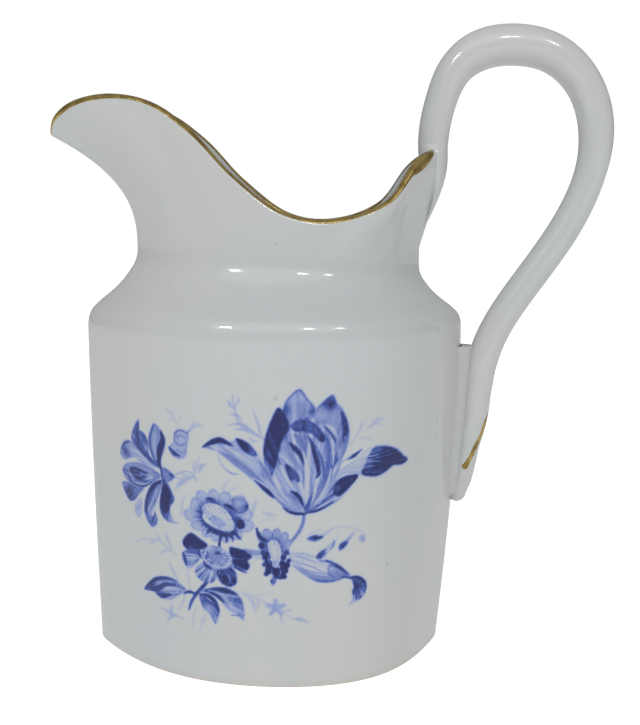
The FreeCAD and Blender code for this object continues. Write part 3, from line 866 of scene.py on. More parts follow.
    art.strokes_all(0.5, 0.14,
        [(-11.4, 52.2), (-8, 49.7), (-4.2, 45.8), (0.15, 0.25, 0.15)],
        [(-13.8, 50.4), (-12.7, 48), (-11, 46.7), (-9.5, 46.6), (0.15, 0.2, 0.35, 0.2)])
    art.strokes_all(0.07, 0.14,
        [(-12.4, 52.2), (-8.4, 50.2), (-4.8, 46.8), (0.3, 0.5, 0.2)],
        [(-6.6, 45.9), (-3.4, 43.9), (-0.6, 41), (0.2, 0.4, 0.2)])
    # the great petal on the right
    art.wash(0.13, [(10.4, 45.8), (12.5, 48.2), (15, 49.8), (17, 51.2), (20, 51.8), (23, 51.2),
        (25, 50), (26.3, 48.8), (27.7, 47.7), (26, 46.8), (23.5, 46.9), (21.5, 45.8),
        (19.5, 45.2), (17, 45.5), (14.8, 46.2), (12, 46.4)], (), (9, 47), 0.3)
    art.wash(0.9, [(15.8, 46.4), (16.6, 48), (17.4, 50), (18.6, 51.5), (20.6, 51.6), (23, 51),
        (25, 50), (26.3, 48.8), (27.8, 47.7), (26, 46.9), (23.5, 47), (21.5, 45.9),
        (19.3, 45.3), (17, 45.6)], [(17.6, 50.6, 1.6, 0.42), (19.5, 50.9, 1.4, 0.62),
        (17.2, 48.4, 1.2, 0.5), (24.5, 48.2, 2.4, 1.0)], (6, 47.6), 0.2, 0.4, 2.2)
    art.strokes_all(0.3, 0.14,
        [(15.2, 49.2), (17.4, 49.7), (19.8, 49.6), (0.1, 0.3, 0.1)],
        [(15.2, 48.3), (17.6, 48.6), (20.4, 48.4), (0.1, 0.3, 0.1)],
        [(15.4, 47.3), (17.4, 47.6), (19, 47.5), (0.1, 0.25, 0.1)])
    art.stroke(0.85, [(12.8, 49.4), (14.2, 50.2), (15.9, 51.4)], 0.2, 0.9, 0.2)
    art.strokes_all(0.3, 0.14,
        [(10.4, 45.8), (11.6, 47.4), (13.8, 48.5), (0.2, 0.3, 0.2)],
        [(11, 48.6), (12.4, 49.5), (13.6, 50.4), (0.3, 0.4, 0.2)],
        [(10.4, 44.9), (11.6, 46.4), (13.6, 47.3), (0.2, 0.25, 0.15)])
    # the petal below it
    art.wash(0.42, [(4.6, 38.6), (8, 39.2), (11, 41), (13.5, 43.5), (15.1, 45.8), (14, 46.2),
        (11.5, 45.6), (9.8, 44.2), (8, 41.5), (5.5, 39.5)], (), base, 0.35)
    art.wash(1.0, [(9.9, 42.8), (10.4, 44.6), (12, 45.8), (14, 46.1), (15.1, 45.7), (13.6, 43.9),
        (11.8, 42.2), (10.8, 41.8)], [(10.5, 43.6, 0.9, 0.75)], base, 0.1)
    art.stroke(0.08, [(5.9, 40.1), (7.4, 41.6), (8.7, 43.3)], 0.2, 0.4, 0.2)
    art.stroke(0.95, [(4.3, 38.6), (6, 38.8), (8, 39.6), (9.9, 40.9)], 0.4, 0.6, 0.5, 0.2)


def paint_side_flower(art):
    heart = (-27.4, 45)
    art.wash(0.58, [(-28, 46.2), (-31, 47), (-34.8, 48.8), (-36.7, 51.4), (-35.8, 53.8),
        (-34.1, 55.9), (-33.8, 54.5), (-34, 52.6), (-33.2, 50.5), (-31, 48.5), (-28.4, 47)],
        [(-36, 51.8, 0.9, 0.5)], heart)
    art.wash(0.6, [(-34, 53.4), (-32.3, 53.1), (-31.2, 51.5), (-31, 49), (-30, 47), (-32.6, 47.4),
        (-34.2, 50)], [(-32.8, 51.6, 0.8, 0.68), (-31.8, 50, 0.6, 0.36)], heart)
    art.stroke(0.93, [(-34, 55.4), (-34.6, 52.6), (-34.4, 50.2), (-32, 48.2), (-28.4, 46.6)],
        0.5, 1.2, 1.4, 1.2, 0.6)
    art.wash(0.4, [(-28.1, 46.1), (-29.9, 48), (-31, 50.5), (-30.8, 53), (-29.2, 55.7),
        (-27.4, 54.4), (-26.2, 51.8), (-26.8, 49.6), (-27.8, 48), (-27.6, 46.4)], (), heart)
    art.stroke(0.62, [(-29.3, 55.3), (-30.5, 52.6), (-30.3, 49.8), (-28.7, 47.2)], 0.6, 0.9, 0.8, 0.4)
    art.stroke(0.93, [(-27.4, 54.3), (-26.8, 52.4), (-27.8, 50), (-28.2, 46.8)], 0.5, 1.5, 1.9, 1.0)
    art.stroke(0.25, [(-28.9, 53.6), (-29.4, 50.8), (-28.8, 48)], 0.3, 0.7, 0.3)
    art.wash(0.3, [(-41.4, 47.3), (-39.9, 50), (-37.8, 50.9), (-35, 49.8), (-32, 47.9),
        (-28.6, 46.2), (-33, 46.5), (-36, 47.3), (-39.5, 46.2)], [(-39, 48.1, 1.3, 0.62)], heart)
    art.stroke(0.72, [(-40.7, 48.6), (-39.2, 50), (-37.2, 50.6)], 0.6, 1.0, 0.4)
    art.strokes_all(0.1, 0.16,
        [(-37, 49), (-34.4, 48.6), (-31.4, 47.3), (0.2, 0.6, 0.2)],
        [(-36.6, 47.6), (-33, 47.2), (-29.6, 46.2), (0.2, 0.5, 0.2)])
    art.wash(0.44, [(-28, 44.9), (-31, 46), (-35, 46.4), (-39, 45.5), (-40.7, 43.8), (-39.4, 42),
        (-36, 41), (-33, 41.2), (-30.3, 42.7), (-28, 44)], [(-39, 43.8, 1, 0.5)], heart)
    art.wash(0.93, [(-37.8, 44.5), (-36, 45.3), (-33, 44.9), (-30.2, 44.2), (-31, 42.9),
        (-33.5, 42.3), (-36, 42.8)], [(-30.6, 43.9, 1.7, 0.2), (-33, 44.6, 0.8, 0.6)], heart, 0.3)
    art.strokes_all(0.28, 0.12,
        [(-36.6, 44.5), (-33.6, 44.2), (-30.4, 43.9), (0.1, 0.2, 0.2)],
        [(-35.8, 43.7), (-33.2, 43.4), (-30.4, 43.4), (0.1, 0.18, 0.2)],
        [(-39.6, 43), (-37, 41.9), (-33.6, 41.8), (-31, 42.6), (0.2, 0.3, 0.3, 0.2)])
    art.strokes_all(0.85, 0.16,
        [(-38.4, 42.4), (-36, 41.4), (-33, 41.4), (-30.6, 42.7), (0.2, 0.4, 0.4, 0.2)],
        [(-39.7, 43.3), (-38.2, 42.8), (-37.4, 42.3), (0.3, 0.6, 0.2)])
    art.wash(0.5, [(-41.1, 40.8), (-40, 38.8), (-38.3, 37.3), (-36.3, 37.8), (-34.8, 39.3),
        (-33, 41), (-35.5, 40.9), (-38.5, 41.4)], [(-38.2, 38.9, 1.5, 0.95)], heart)
    art.wash(0.2, [(-34, 38.8), (-36, 37.2), (-36.6, 35.4), (-35.4, 34), (-34.2, 35.2),
        (-33.9, 37)], [(-35.4, 36.6, 0.8, 0.3)], heart)
    art.wash(0.5, [(-27.4, 43.3), (-29.8, 42.3), (-31.6, 40.2), (-33.1, 37.8), (-33.1, 35.3),
        (-32, 33.4), (-30.6, 32.8), (-29.5, 33.7), (-29.2, 35.2), (-29.9, 37), (-28.6, 40)], (),
        heart, 0.3)
    art.stroke(0.9, [(-27.8, 43.4), (-30, 42), (-31.8, 39.6), (-32.6, 37), (-32.1, 34.8)],
        0.7, 1.4, 1.2, 0.9, 0.4)
    art.stroke(0.6, [(-32.3, 34.6), (-30.9, 33.4), (-29.7, 34), (-29.3, 35.1)], 0.8, 1.1, 0.8, 0.3)
    art.stroke(0.12, [(-30.7, 35.6), (-30, 37), (-28.8, 39.2)], 0.9, 1.0, 0.3)
    art.stroke(0.32, [(-28.2, 42.4), (-29, 40.6), (-29.4, 39)], 0.4, 0.8, 0.3)
    art.wash(0.66, [(-26.9, 43.6), (-28, 40.5), (-28.5, 38), (-27.9, 36), (-26.4, 34.8),
        (-24.6, 34.8), (-25.4, 36), (-25.5, 38), (-24.3, 39.8), (-24.9, 41.5), (-25.8, 43)],
        [(-25.8, 35.4, 0.9, 0.45)], heart)
    art.wash(1.0, [(-27, 42.8), (-28, 39.8), (-27.9, 37.3), (-27, 36.4), (-26, 37.2),
        (-25.6, 39), (-25.2, 40.6), (-26, 42.4)], (), heart, 0.1)
    art.stroke(0.3, [(-25.6, 35.3), (-24.4, 34.8), (-23.3, 34.9)], 0.6, 0.5, 0.15)
    art.stroke(0.97, [(-28.2, 48.4), (-27.6, 46.2), (-27.3, 44.4), (-26.8, 42.8)], 0.3, 0.7, 0.6, 0.9)
    art.wash(0.46, [(-27.2, 46.4), (-25.6, 46.1), (-24, 44.9), (-24.8, 43.9), (-26.5, 43.2),
        (-27, 44.5)], [(-24.9, 45.1, 0.6, 0.62)], heart)
    art.strokes_all(0.32, 0.18,
        [(-24.1, 44.9), (-23, 45.7), (-21.5, 46.2), (-19.8, 46), (-18.6, 44.5), (0.3, 0.3, 0.25)],
        [(-24, 44.7), (-22, 44.6), (-20, 45.2), (-18.8, 45), (0.2, 0.3, 0.2)])
    art.strokes_all(0.24, 0.3,
        [(-24, 42.2), (-22.2, 43.9), (-19.6, 45.1), (0.3, 1.3, 0.3)],
        [(-22.8, 45.8), (-21.4, 45.4), (-20, 45.4), (0.2, 0.5, 0.2)],
        [(-18.2, 46.2), (-17.6, 47.6), (-16.3, 48.3), (0.3, 1.1, 0.2)],
        [(-19.2, 45.8), (-18.7, 47.6), (-17.8, 49.7), (0.2, 0.5, 0.15)],
        [(-19, 46.4), (-19.4, 47.6), (-19, 48.8), (0.2, 0.5, 0.15)])


def paint_bud(art):
    art.wash(0.27, [(-25.4, 50.9), (-24.5, 49.4), (-22.7, 48.7), (-21, 49.6), (-20.7, 51.5),
        (-20.2, 53.5), (-20.6, 54.9), (-22.3, 55.2), (-23.9, 54.2), (-24, 52.5)], (), (-22, 50))
    art.stroke(0.78, [(-25.2, 51), (-24, 49.9), (-22.6, 49.4)], 0.5, 1.2, 0.5)
    art.strokes_all(0.5, 0.18,
        [(-23.7, 52.6), (-22.4, 51.7), (-20.9, 52.4), (0.3, 0.4, 0.3)],
        [(-23.8, 54), (-22.5, 54.9), (-20.5, 54.4), (0.4, 0.5, 0.3)],
        [(-23.4, 50.6), (-22, 50.2), (-20.9, 50.8), (0.3, 0.4, 0.3)],
        [(-23.3, 53.3), (-22.2, 53.9), (-21, 53.2), (0.2, 0.3, 0.2)],
        [(-23.2, 51.9), (-23.8, 52.9), (-23.2, 54.4), (0.2, 0.3, 0.2)],
        [(-20.7, 54.4), (-19.9, 55.2), (-19.2, 55.9), (0.4, 0.4, 0.2)])
    art.strokes_all(0.2, 0.3,
        [(-19.7, 55.1), (-18.4, 56.3), (-16.8, 56.1), (0.4, 0.8, 0.2)],
        [(-19.8, 55.3), (-19.4, 56.3), (-18.6, 56.9), (0.3, 0.4, 0.1)])
    art.strokes_all(0.13, 0.25,
        [(-23.2, 56.4), (-23.8, 57.7), (-24.2, 59), (0.2, 0.4, 0.2)],
        [(-23.6, 57.2), (-25, 58.6), (-26.2, 59.4), (0.2, 0.6, 0.2)],
        [(-23.4, 56.6), (-24.8, 57.2), (-25.3, 56.6), (0.2, 0.5, 0.1)],
        [(-23, 55.6), (-22.6, 56.8), (-21.7, 58), (0.15, 0.4, 0.2)])


def paint_florets(art):
    reach = [(-2, 8.6), (21, 7.4), (36, 8), (62, 6.4), (80, 6.2), (99, 6.3), (118, 6.6),
        (137, 7.4), (155, 6.6), (171, 7.9), (194, 7.4), (212, 5.9), (240, 5.3), (265, 5.2),
        (306, 5.9), (333, 7.2)]
    roots = [(0, 0.5), (25, 0.45), (48, 0.3), (75, 0.25), (95, 0.4), (108, 0.35), (130, 0.28),
        (165, 0.4), (195, 0.4), (212, 0.55), (238, 0.85), (300, 0.9), (318, 0.6), (340, 0.5)]
    art.floret((-14.3, 36.9), reach, roots, (3.8, 2.6, -35), 0.3, 13, 4)
    art.stroke(0.95, [(-16.3, 40.9), (-15.4, 40.8), (-14.5, 40.2)], 0.6, 0.9, 0.3)
    art.stroke(0.9, [(-12.7, 40), (-11.4, 39.5), (-9.7, 38.6)], 0.3, 1.0, 0.7)
    art.wash(0.45, [(-11.2, 41), (-9.6, 41.6), (-7.9, 41), (-7.5, 39.4), (-8.8, 38.2), (-10.2, 38.6)],
        [(-7.8, 39.6, 0.7, 0.75), (-9.6, 40.6, 0.9, 0.3)], (-12, 38))
    art.wash(0.97, [(-10.1, 36.4), (-9.4, 37.1), (-8.5, 36.4), (-8.4, 35.4), (-9.2, 34.9),
        (-10, 35.2)])
    art.stroke(0.9, [(-17.6, 36), (-16.4, 35.1), (-14.6, 34.1), (-12.6, 33.6), (-10.4, 34)],
        0.3, 0.9, 1.2, 1.4, 0.9)
    art.strokes_all(0.88, 0.2,
        [(-13.4, 33.6), (-13.8, 32.2), (-14, 31), (0.8, 0.6, 0.7)],
        [(-12.4, 33.4), (-12.3, 32.4), (-12.4, 31.8), (0.8, 0.5, 0.2)],
        [(-11.3, 33.4), (-11, 32.5), (-11, 32), (0.8, 0.5, 0.2)],
        [(-10.3, 33.8), (-9.6, 33), (-9.2, 32.6), (0.8, 0.5, 0.2)],
        [(-16, 34.6), (-16.6, 33.6), (-16.9, 33), (0.6, 0.4, 0.1)])
    art.stroke(0.75, [(-17.8, 38.6), (-17.7, 37.6), (-17.9, 36.8)], 0.5, 0.6, 0.4)
    # its pale heart
    art.wash(0.07, [(-17.6, 38.6), (-16.2, 39.8), (-14.4, 39.6), (-12.2, 38.2), (-10.7, 36.2),
        (-10.7, 34.8), (-12, 34.1), (-13.8, 34.6), (-16, 36)], (), (-14.2, 36.8), 0.6, 0.2)
    art.wash(0.28, [(-16, 37), (-14.9, 37.4), (-13.4, 36.8), (-12.4, 35.8), (-13, 35),
        (-14.6, 35.3), (-15.8, 36)], [(-14.8, 37, 0.6, 0.36)], (-14, 36.2), 0.7)
    # the lower floret
    heart = (-14.6, 28.4)
    art.wash(1.0, [(-22.6, 31), (-21.6, 32.4), (-20.3, 33.1), (-18.6, 32.2), (-16.6, 30.8),
        (-18.4, 29.6), (-20.6, 29.2), (-22.2, 29.8)], [(-20.5, 29.6, 0.8, 0.8)], heart, 0.08)
    art.wash(0.34, [(-22.9, 28), (-22.4, 26.2), (-21.4, 25.1), (-19.8, 26), (-18, 28.6),
        (-18.8, 29.6), (-21, 29)], [(-20.4, 27, 1, 0.22)], heart, 0.3)
    art.stroke(0.82, [(-22.6, 28.4), (-22.2, 27), (-21.9, 25.9)], 0.6, 0.9, 0.3)
    art.stroke(0.6, [(-22.2, 28.8), (-20.6, 29.2), (-18.6, 28.9)], 0.4, 0.8, 0.5)
    art.stroke(0.85, [(-18.6, 30), (-18.8, 28.8), (-18, 27.8)], 0.4, 0.7, 0.3)
    art.wash(0.36, [(-19.8, 25.2), (-19.4, 23.6), (-18, 22.7), (-16, 22.6), (-14.8, 24),
        (-15.2, 25.8), (-17.8, 26.8)], [(-16, 24.8, 0.9, 0.16), (-19, 24.6, 0.8, 0.46)], heart, 0.3)
    art.wash(0.72, [(-14.6, 25.6), (-14.4, 23.6), (-13.2, 22.4), (-11.6, 22.2), (-10.4, 23.2),
        (-10.6, 25.4), (-12, 26.6)], [(-13.2, 23.6, 0.7, 0.95), (-12, 24.6, 0.4, 0.5),
        (-11, 23.6, 0.6, 0.85)], heart, 0.3)
    art.stroke(0.35, [(-12.9, 25.4), (-11.9, 24.2), (-11.9, 23)], 0.2, 0.3, 0.2)
    art.wash(1.0, [(-11.8, 30.6), (-10.6, 30.8), (-9, 30.5), (-7.4, 30.2), (-7, 28.9),
        (-7.9, 28.1), (-7.5, 27), (-8.2, 26), (-9.8, 26.6), (-11.2, 27.4)],
        [(-11, 28.4, 0.6, 0.75)], heart, 0.1)
    art.stroke(0.82, [(-10.6, 26.6), (-9.4, 26), (-8.1, 25.4)], 0.8, 0.7, 0.2)
    art.stroke(0.6, [(-14.8, 25.8), (-12.8, 26.2), (-11, 27)], 0.8, 0.9, 0.6)
    art.wash(0.38, [(-18, 28.6), (-17.2, 30.2), (-15, 30.7), (-12.6, 30), (-11.2, 28.4),
        (-11.8, 26.8), (-14, 25.8), (-16.6, 26.4)], [(-14.8, 28.2, 1.2, 0.42)], heart, 0.5, 0.2)
    art.stroke(0.18, [(-17.6, 28), (-17, 29.8), (-15, 30.4), (-12.8, 29.8), (-11.5, 28.4),
        (-12.4, 26.7), (-14.6, 26.2), (-17, 27), (-17.6, 28)], 0.45, 0.4, 0.5, 0.4)
    art.strokes_all(0.6, 0.14,
        [(-15.8, 30.8), (-14.6, 30.5), (-13.4, 30.5), (0.3, 0.4, 0.2)],
        [(-12.2, 28.6), (-12.6, 27.6), (-13.4, 27), (0.15, 0.2, 0.1)])
    art.stroke(0.92, [(-15, 29.1), (-14.3, 29.4), (-13.8, 29.1)], 0.3, 0.7, 0.3)
    art.stroke(0.9, [(-17.7, 27.2), (-17, 26.2), (-15.8, 25.7)], 0.4, 0.9, 0.3)
    # the floret under the tulip
    heart = (-2.2, 29.8)
    reach = [(0, 2.2), (30, 4.2), (50, 5.2), (75, 5.6), (100, 5.6), (125, 6.2), (150, 4),
        (180, 3), (270, 3.4), (330, 2.6)]
    roots = [(0, 0.3), (40, 0.12), (95, 0.2), (118, 0.3), (130, 0.4), (180, 0.3), (270, 0.4)]
    art.floret(heart, reach, roots, (2.9, 1.3, 92), 0.44, 15, 21)
    art.stroke(0.95, [(-5.9, 35.2), (-5.5, 33.8), (-4.6, 32.8), (-3.8, 32.6)], 0.5, 0.9, 1.1, 0.4)
    art.wash(0.97, [(-5.6, 31.6), (-5, 32.2), (-4.3, 31.8), (-4.4, 31), (-5, 30.8)])
    art.stroke(0.4, [(-8.2, 30.4), (-6.6, 29.9), (-4.8, 30)], 0.8, 1.5, 1.2)
    art.stroke(0.2, [(-6.9, 29.4), (-6, 28.8), (-5, 28.8)], 0.3, 0.6, 0.4)
    for place, size, tone in (
        ((-3.9, 29.3), 0.95, 0.97), ((-3.6, 27.6), 0.9, 0.92), ((-3.3, 26.3), 0.95, 1.0),
        ((-4.4, 27.4), 0.5, 0.7), ((-4, 25.4), 0.55, 0.85), ((-2, 26), 1.0, 1.0),
        ((-1, 24.9), 0.7, 0.85), ((-0.2, 24.8), 0.5, 0.95), ((-0.4, 26.2), 1.0, 0.95),
        ((0.3, 27.3), 0.7, 0.95), ((-0.6, 27.6), 0.7, 0.9), ((0.7, 28.3), 0.5, 0.85),
        ((-0.4, 29), 0.6, 0.85), ((0.3, 30), 0.6, 0.75), ((-4.6, 30), 0.55, 0.75),
        ((-2, 24.8), 0.6, 0.85), ((-2.6, 23.8), 0.6, 0.75)):
        art.wash(tone, [(place[0] + size * du, place[1] + size * dz)
            for du, dz in ((1, 0), (0.5, 0.9), (-0.5, 0.85), (-1, 0), (-0.5, -0.9), (0.5, -0.8))],
            soft=0.25)
    art.stroke(0.6, [(-2.4, 24.4), (-2.6, 23.4), (-2.7, 22.9)], 0.9, 0.8, 0.3)
    art.strokes_all(0.25, 0.15,
        [(-3.3, 29.6), (-3.6, 28.6), (-3, 27.6), (0.12, 0.2, 0.1)],
        [(-2.9, 26.4), (-2.8, 25.4), (-3, 24.6), (0.12, 0.2, 0.1)],
        [(-1.2, 26.6), (-1, 25.8), (-1.2, 25), (0.12, 0.2, 0.1)])
    art.wash(0.06, [(-2.9, 32.8), (-1.9, 32.6), (-1.3, 31.2), (-1.2, 29), (-1.5, 27),
        (-2.4, 26.9), (-2.8, 28.6), (-3.5, 30.6), (-3.6, 32)], [(-1.9, 27.8, 0.8, 0.22)], heart,
        0.5, 0.2)


def paint_leaves(art):
    # under the tulip, to the right
    art.wash(0.1, [(0.8, 30), (4, 30), (7.2, 28.9), (10.4, 27.8), (13, 25.6), (14.2, 24.2),
        (11.6, 23.8), (9.4, 23.2), (6.6, 23.6), (4, 25), (1.6, 27.2)], (), (1, 29), 0.4)
    art.stroke(0.42, [(1.8, 27.2), (4.6, 25.4), (8, 24.2), (12.4, 24.2)], 0.5, 1.2, 1.7, 0.8)
    art.wash(0.46, [(9.2, 27.2), (11.2, 26.8), (12.8, 25.4), (13.6, 24.3), (11, 24.2), (9, 25)],
        [(9.8, 26.2, 0.8, 0.3)], (1, 29))
    art.stroke(0.6, [(5, 24.6), (7, 23.7), (9.8, 23.5), (12, 23.9)], 0.2, 0.6, 0.6, 0.3)
    art.stroke(0.5, [(7.2, 28), (8.6, 28), (9.8, 27.7)], 0.5, 0.7, 0.5)
    art.stroke(0.92, [(8.6, 28), (10.4, 27.2), (12, 26), (13.6, 24.7)], 0.2, 0.6, 0.7, 0.2)
    art.strokes_all(0.5, 0.14,
        [(2, 29.4), (4.4, 28.6), (6.6, 27.8), (0.15, 0.25, 0.15)],
        [(3, 26.8), (6.4, 25.6), (10, 25), (0.15, 0.25, 0.15)],
        [(1.4, 28.4), (4, 27.4), (6.6, 26.6), (0.15, 0.2, 0.15)])
    art.stroke(0.95, [(12.2, 24.2), (14, 23.9), (15.6, 23.4), (16.8, 22.6)], 0.3, 0.7, 1.4, 1.0)
    art.wash(0.62, [(14.4, 23.6), (16.2, 23.6), (17.6, 22.4), (17.9, 21), (17.4, 19.6), (16.2, 18.7),
        (15.2, 19), (14.5, 20.6), (14.8, 22)], [(15.5, 21.8, 1.1, 0.97), (17, 19.8, 0.9, 0.4),
        (14.9, 20, 0.6, 0.8)], (15, 24), 0.3)
    art.stroke(0.97, [(14.6, 24), (16.2, 23.5), (17.4, 22.4), (17.8, 21)], 0.4, 0.8, 0.7, 0.2)
    art.strokes_all(0.4, 0.2,
        [(15, 19.6), (14.6, 18.6), (13.7, 17.8), (0.6, 0.5, 0.1)],
        [(15.8, 19), (15.2, 18.4), (14.8, 18), (0.4, 0.3, 0.1)])
    # buds above that leaf
    for root, middle, tip, wide, tone, dark in (
        ((5, 33), (7, 33.3), (9.9, 34.9), 1.7, 0.34, ((6.2, 33.1), (7.6, 33.2))),
        ((6.9, 28.8), (8.4, 30.2), (10.3, 32.3), 1.8, 0.42, ((7.2, 29.2), (8.3, 30.2))),
        ((11.6, 30.5), (12.8, 31.8), (14.6, 33.8), 1.5, 0.45, ((12, 31.1), (12.9, 31.6))),
    ):
        art.stroke(tone, [root, middle, tip], 1.0, wide, 0.7, 0.3, soft=0.3)
        art.stroke(0.88, [root, dark[0], dark[1]], 0.5, 1.2, 0.5, soft=0.4)
    art.stroke(0.1, [(7, 33.6), (8, 34), (9, 34.4)], 0.3, 0.5, 0.2)
    art.stroke(0.16, [(8.4, 30), (9.2, 31), (9.8, 31.6)], 0.3, 0.5, 0.2)
    art.strokes_all(0.55, 0.2,
        [(10.3, 32.3), (10, 31.2), (9.4, 30.4), (0.3, 0.5, 0.2)],
        [(4.6, 33), (5.4, 32.8), (6.2, 32.4), (0.3, 0.5, 0.3)])
    art.wash(0.17, [(15.6, 32.4), (16, 31.6), (16.9, 31.3), (17.2, 32.2), (16.9, 33), (16, 33)],
        [(16.6, 32, 0.4, 0.3)])
    art.strokes_all(0.13, 0.25,
        [(9.6, 34.9), (11, 35.2), (13, 35), (15, 34.4), (17, 33.2), (0.4, 0.35, 0.3)],
        [(10.6, 32), (10.9, 33), (11.2, 34), (0.2, 0.3, 0.2)],
        [(4.8, 33.6), (5.6, 34.4), (7.6, 34.9), (0.2, 0.4, 0.3)])
    # low on the left
    art.wash(0.4, [(-34.6, 18), (-33, 19.6), (-31.4, 21.2), (-29, 22.1), (-26, 22.3),
        (-23.8, 21.4), (-22.3, 20.2), (-24.2, 18.7), (-26.4, 17.3), (-29.2, 17), (-31, 18),
        (-33, 17.9)], (), (-21, 20), 0.3)
    art.stroke(0.92, [(-34.3, 18.2), (-32.4, 19.4), (-30.6, 20.8), (-27.6, 21.9), (-24.6, 21.9)],
        0.5, 1.7, 1.3, 0.8, 0.3)
    art.stroke(0.85, [(-32.6, 18.6), (-30.4, 19), (-27.8, 20.4), (-25, 20.9)], 0.9, 1.7, 1.1, 0.4)
    art.stroke(0.82, [(-30.6, 17.9), (-28.4, 17.9), (-26.2, 18.6)], 0.6, 1.5, 0.3)
    art.strokes_all(0.3, 0.16,
        [(-31.4, 20), (-29, 21), (-25.8, 21.4), (0.15, 0.4, 0.3)],
        [(-28.8, 18.8), (-26.6, 19.4), (-23.6, 20), (0.2, 0.4, 0.3)])
    # the cut stem and the leaves about it
    art.stroke(0.88, [(-16.8, 23), (-18.2, 21.4), (-20, 19.4)], 0.8, 0.9, 0.9)
    art.stroke(0.62, [(-20, 19.4), (-21, 17.8), (-21.7, 16)], 0.9, 0.9, 0.6)
    art.stroke(0.85, [(-22.9, 19.3), (-21.6, 19.9), (-20.2, 19.8)], 0.3, 0.8, 0.6)
    art.wash(0.52, [(-18.9, 19.9), (-16.8, 20), (-15.2, 18.8), (-14.4, 17), (-14.7, 15.2),
        (-15.5, 13.5), (-16.6, 15.4), (-18.2, 16.8), (-18.9, 18.4)], [(-17, 16.4, 1.2, 0.26),
        (-15.2, 14.6, 0.9, 0.3), (-17.4, 18.6, 0.8, 0.62)], (-19.4, 20.2), 0.3)
    art.stroke(0.95, [(-18.8, 19.7), (-16.9, 19.6), (-15.3, 18.4), (-14.6, 16.4)], 0.3, 0.9, 1.0, 0.3)
    art.wash(0.42, [(-19, 20.5), (-16.4, 21.3), (-13, 21.8), (-10.4, 20.8), (-9.1, 18.7),
        (-9, 15), (-10.6, 16.2), (-12.4, 16.9), (-13.8, 18.6), (-15.6, 20)],
        [(-10.4, 19, 1.3, 0.6), (-11.6, 17.4, 0.9, 0.3)], (-19, 20.4), 0.3)
    art.stroke(0.95, [(-17.6, 20.9), (-15, 21.4), (-12.8, 21.3), (-10.6, 20.6)], 0.3, 0.9, 1.2, 0.4)
    art.stroke(0.9, [(-16.4, 20.4), (-14.8, 19.8), (-13.4, 18.6)], 0.4, 0.9, 0.4)
    art.stroke(0.12, [(-16.8, 20.9), (-14.4, 20.6), (-12.8, 19.4)], 0.15, 0.35, 0.2)
    art.stroke(0.16, [(-13, 19.4), (-11.6, 18), (-10.4, 16.6)], 0.2, 0.4, 0.2)
    art.stroke(0.7, [(-11.8, 15.9), (-10, 15.9), (-9.4, 15.4)], 0.2, 0.35, 0.2)


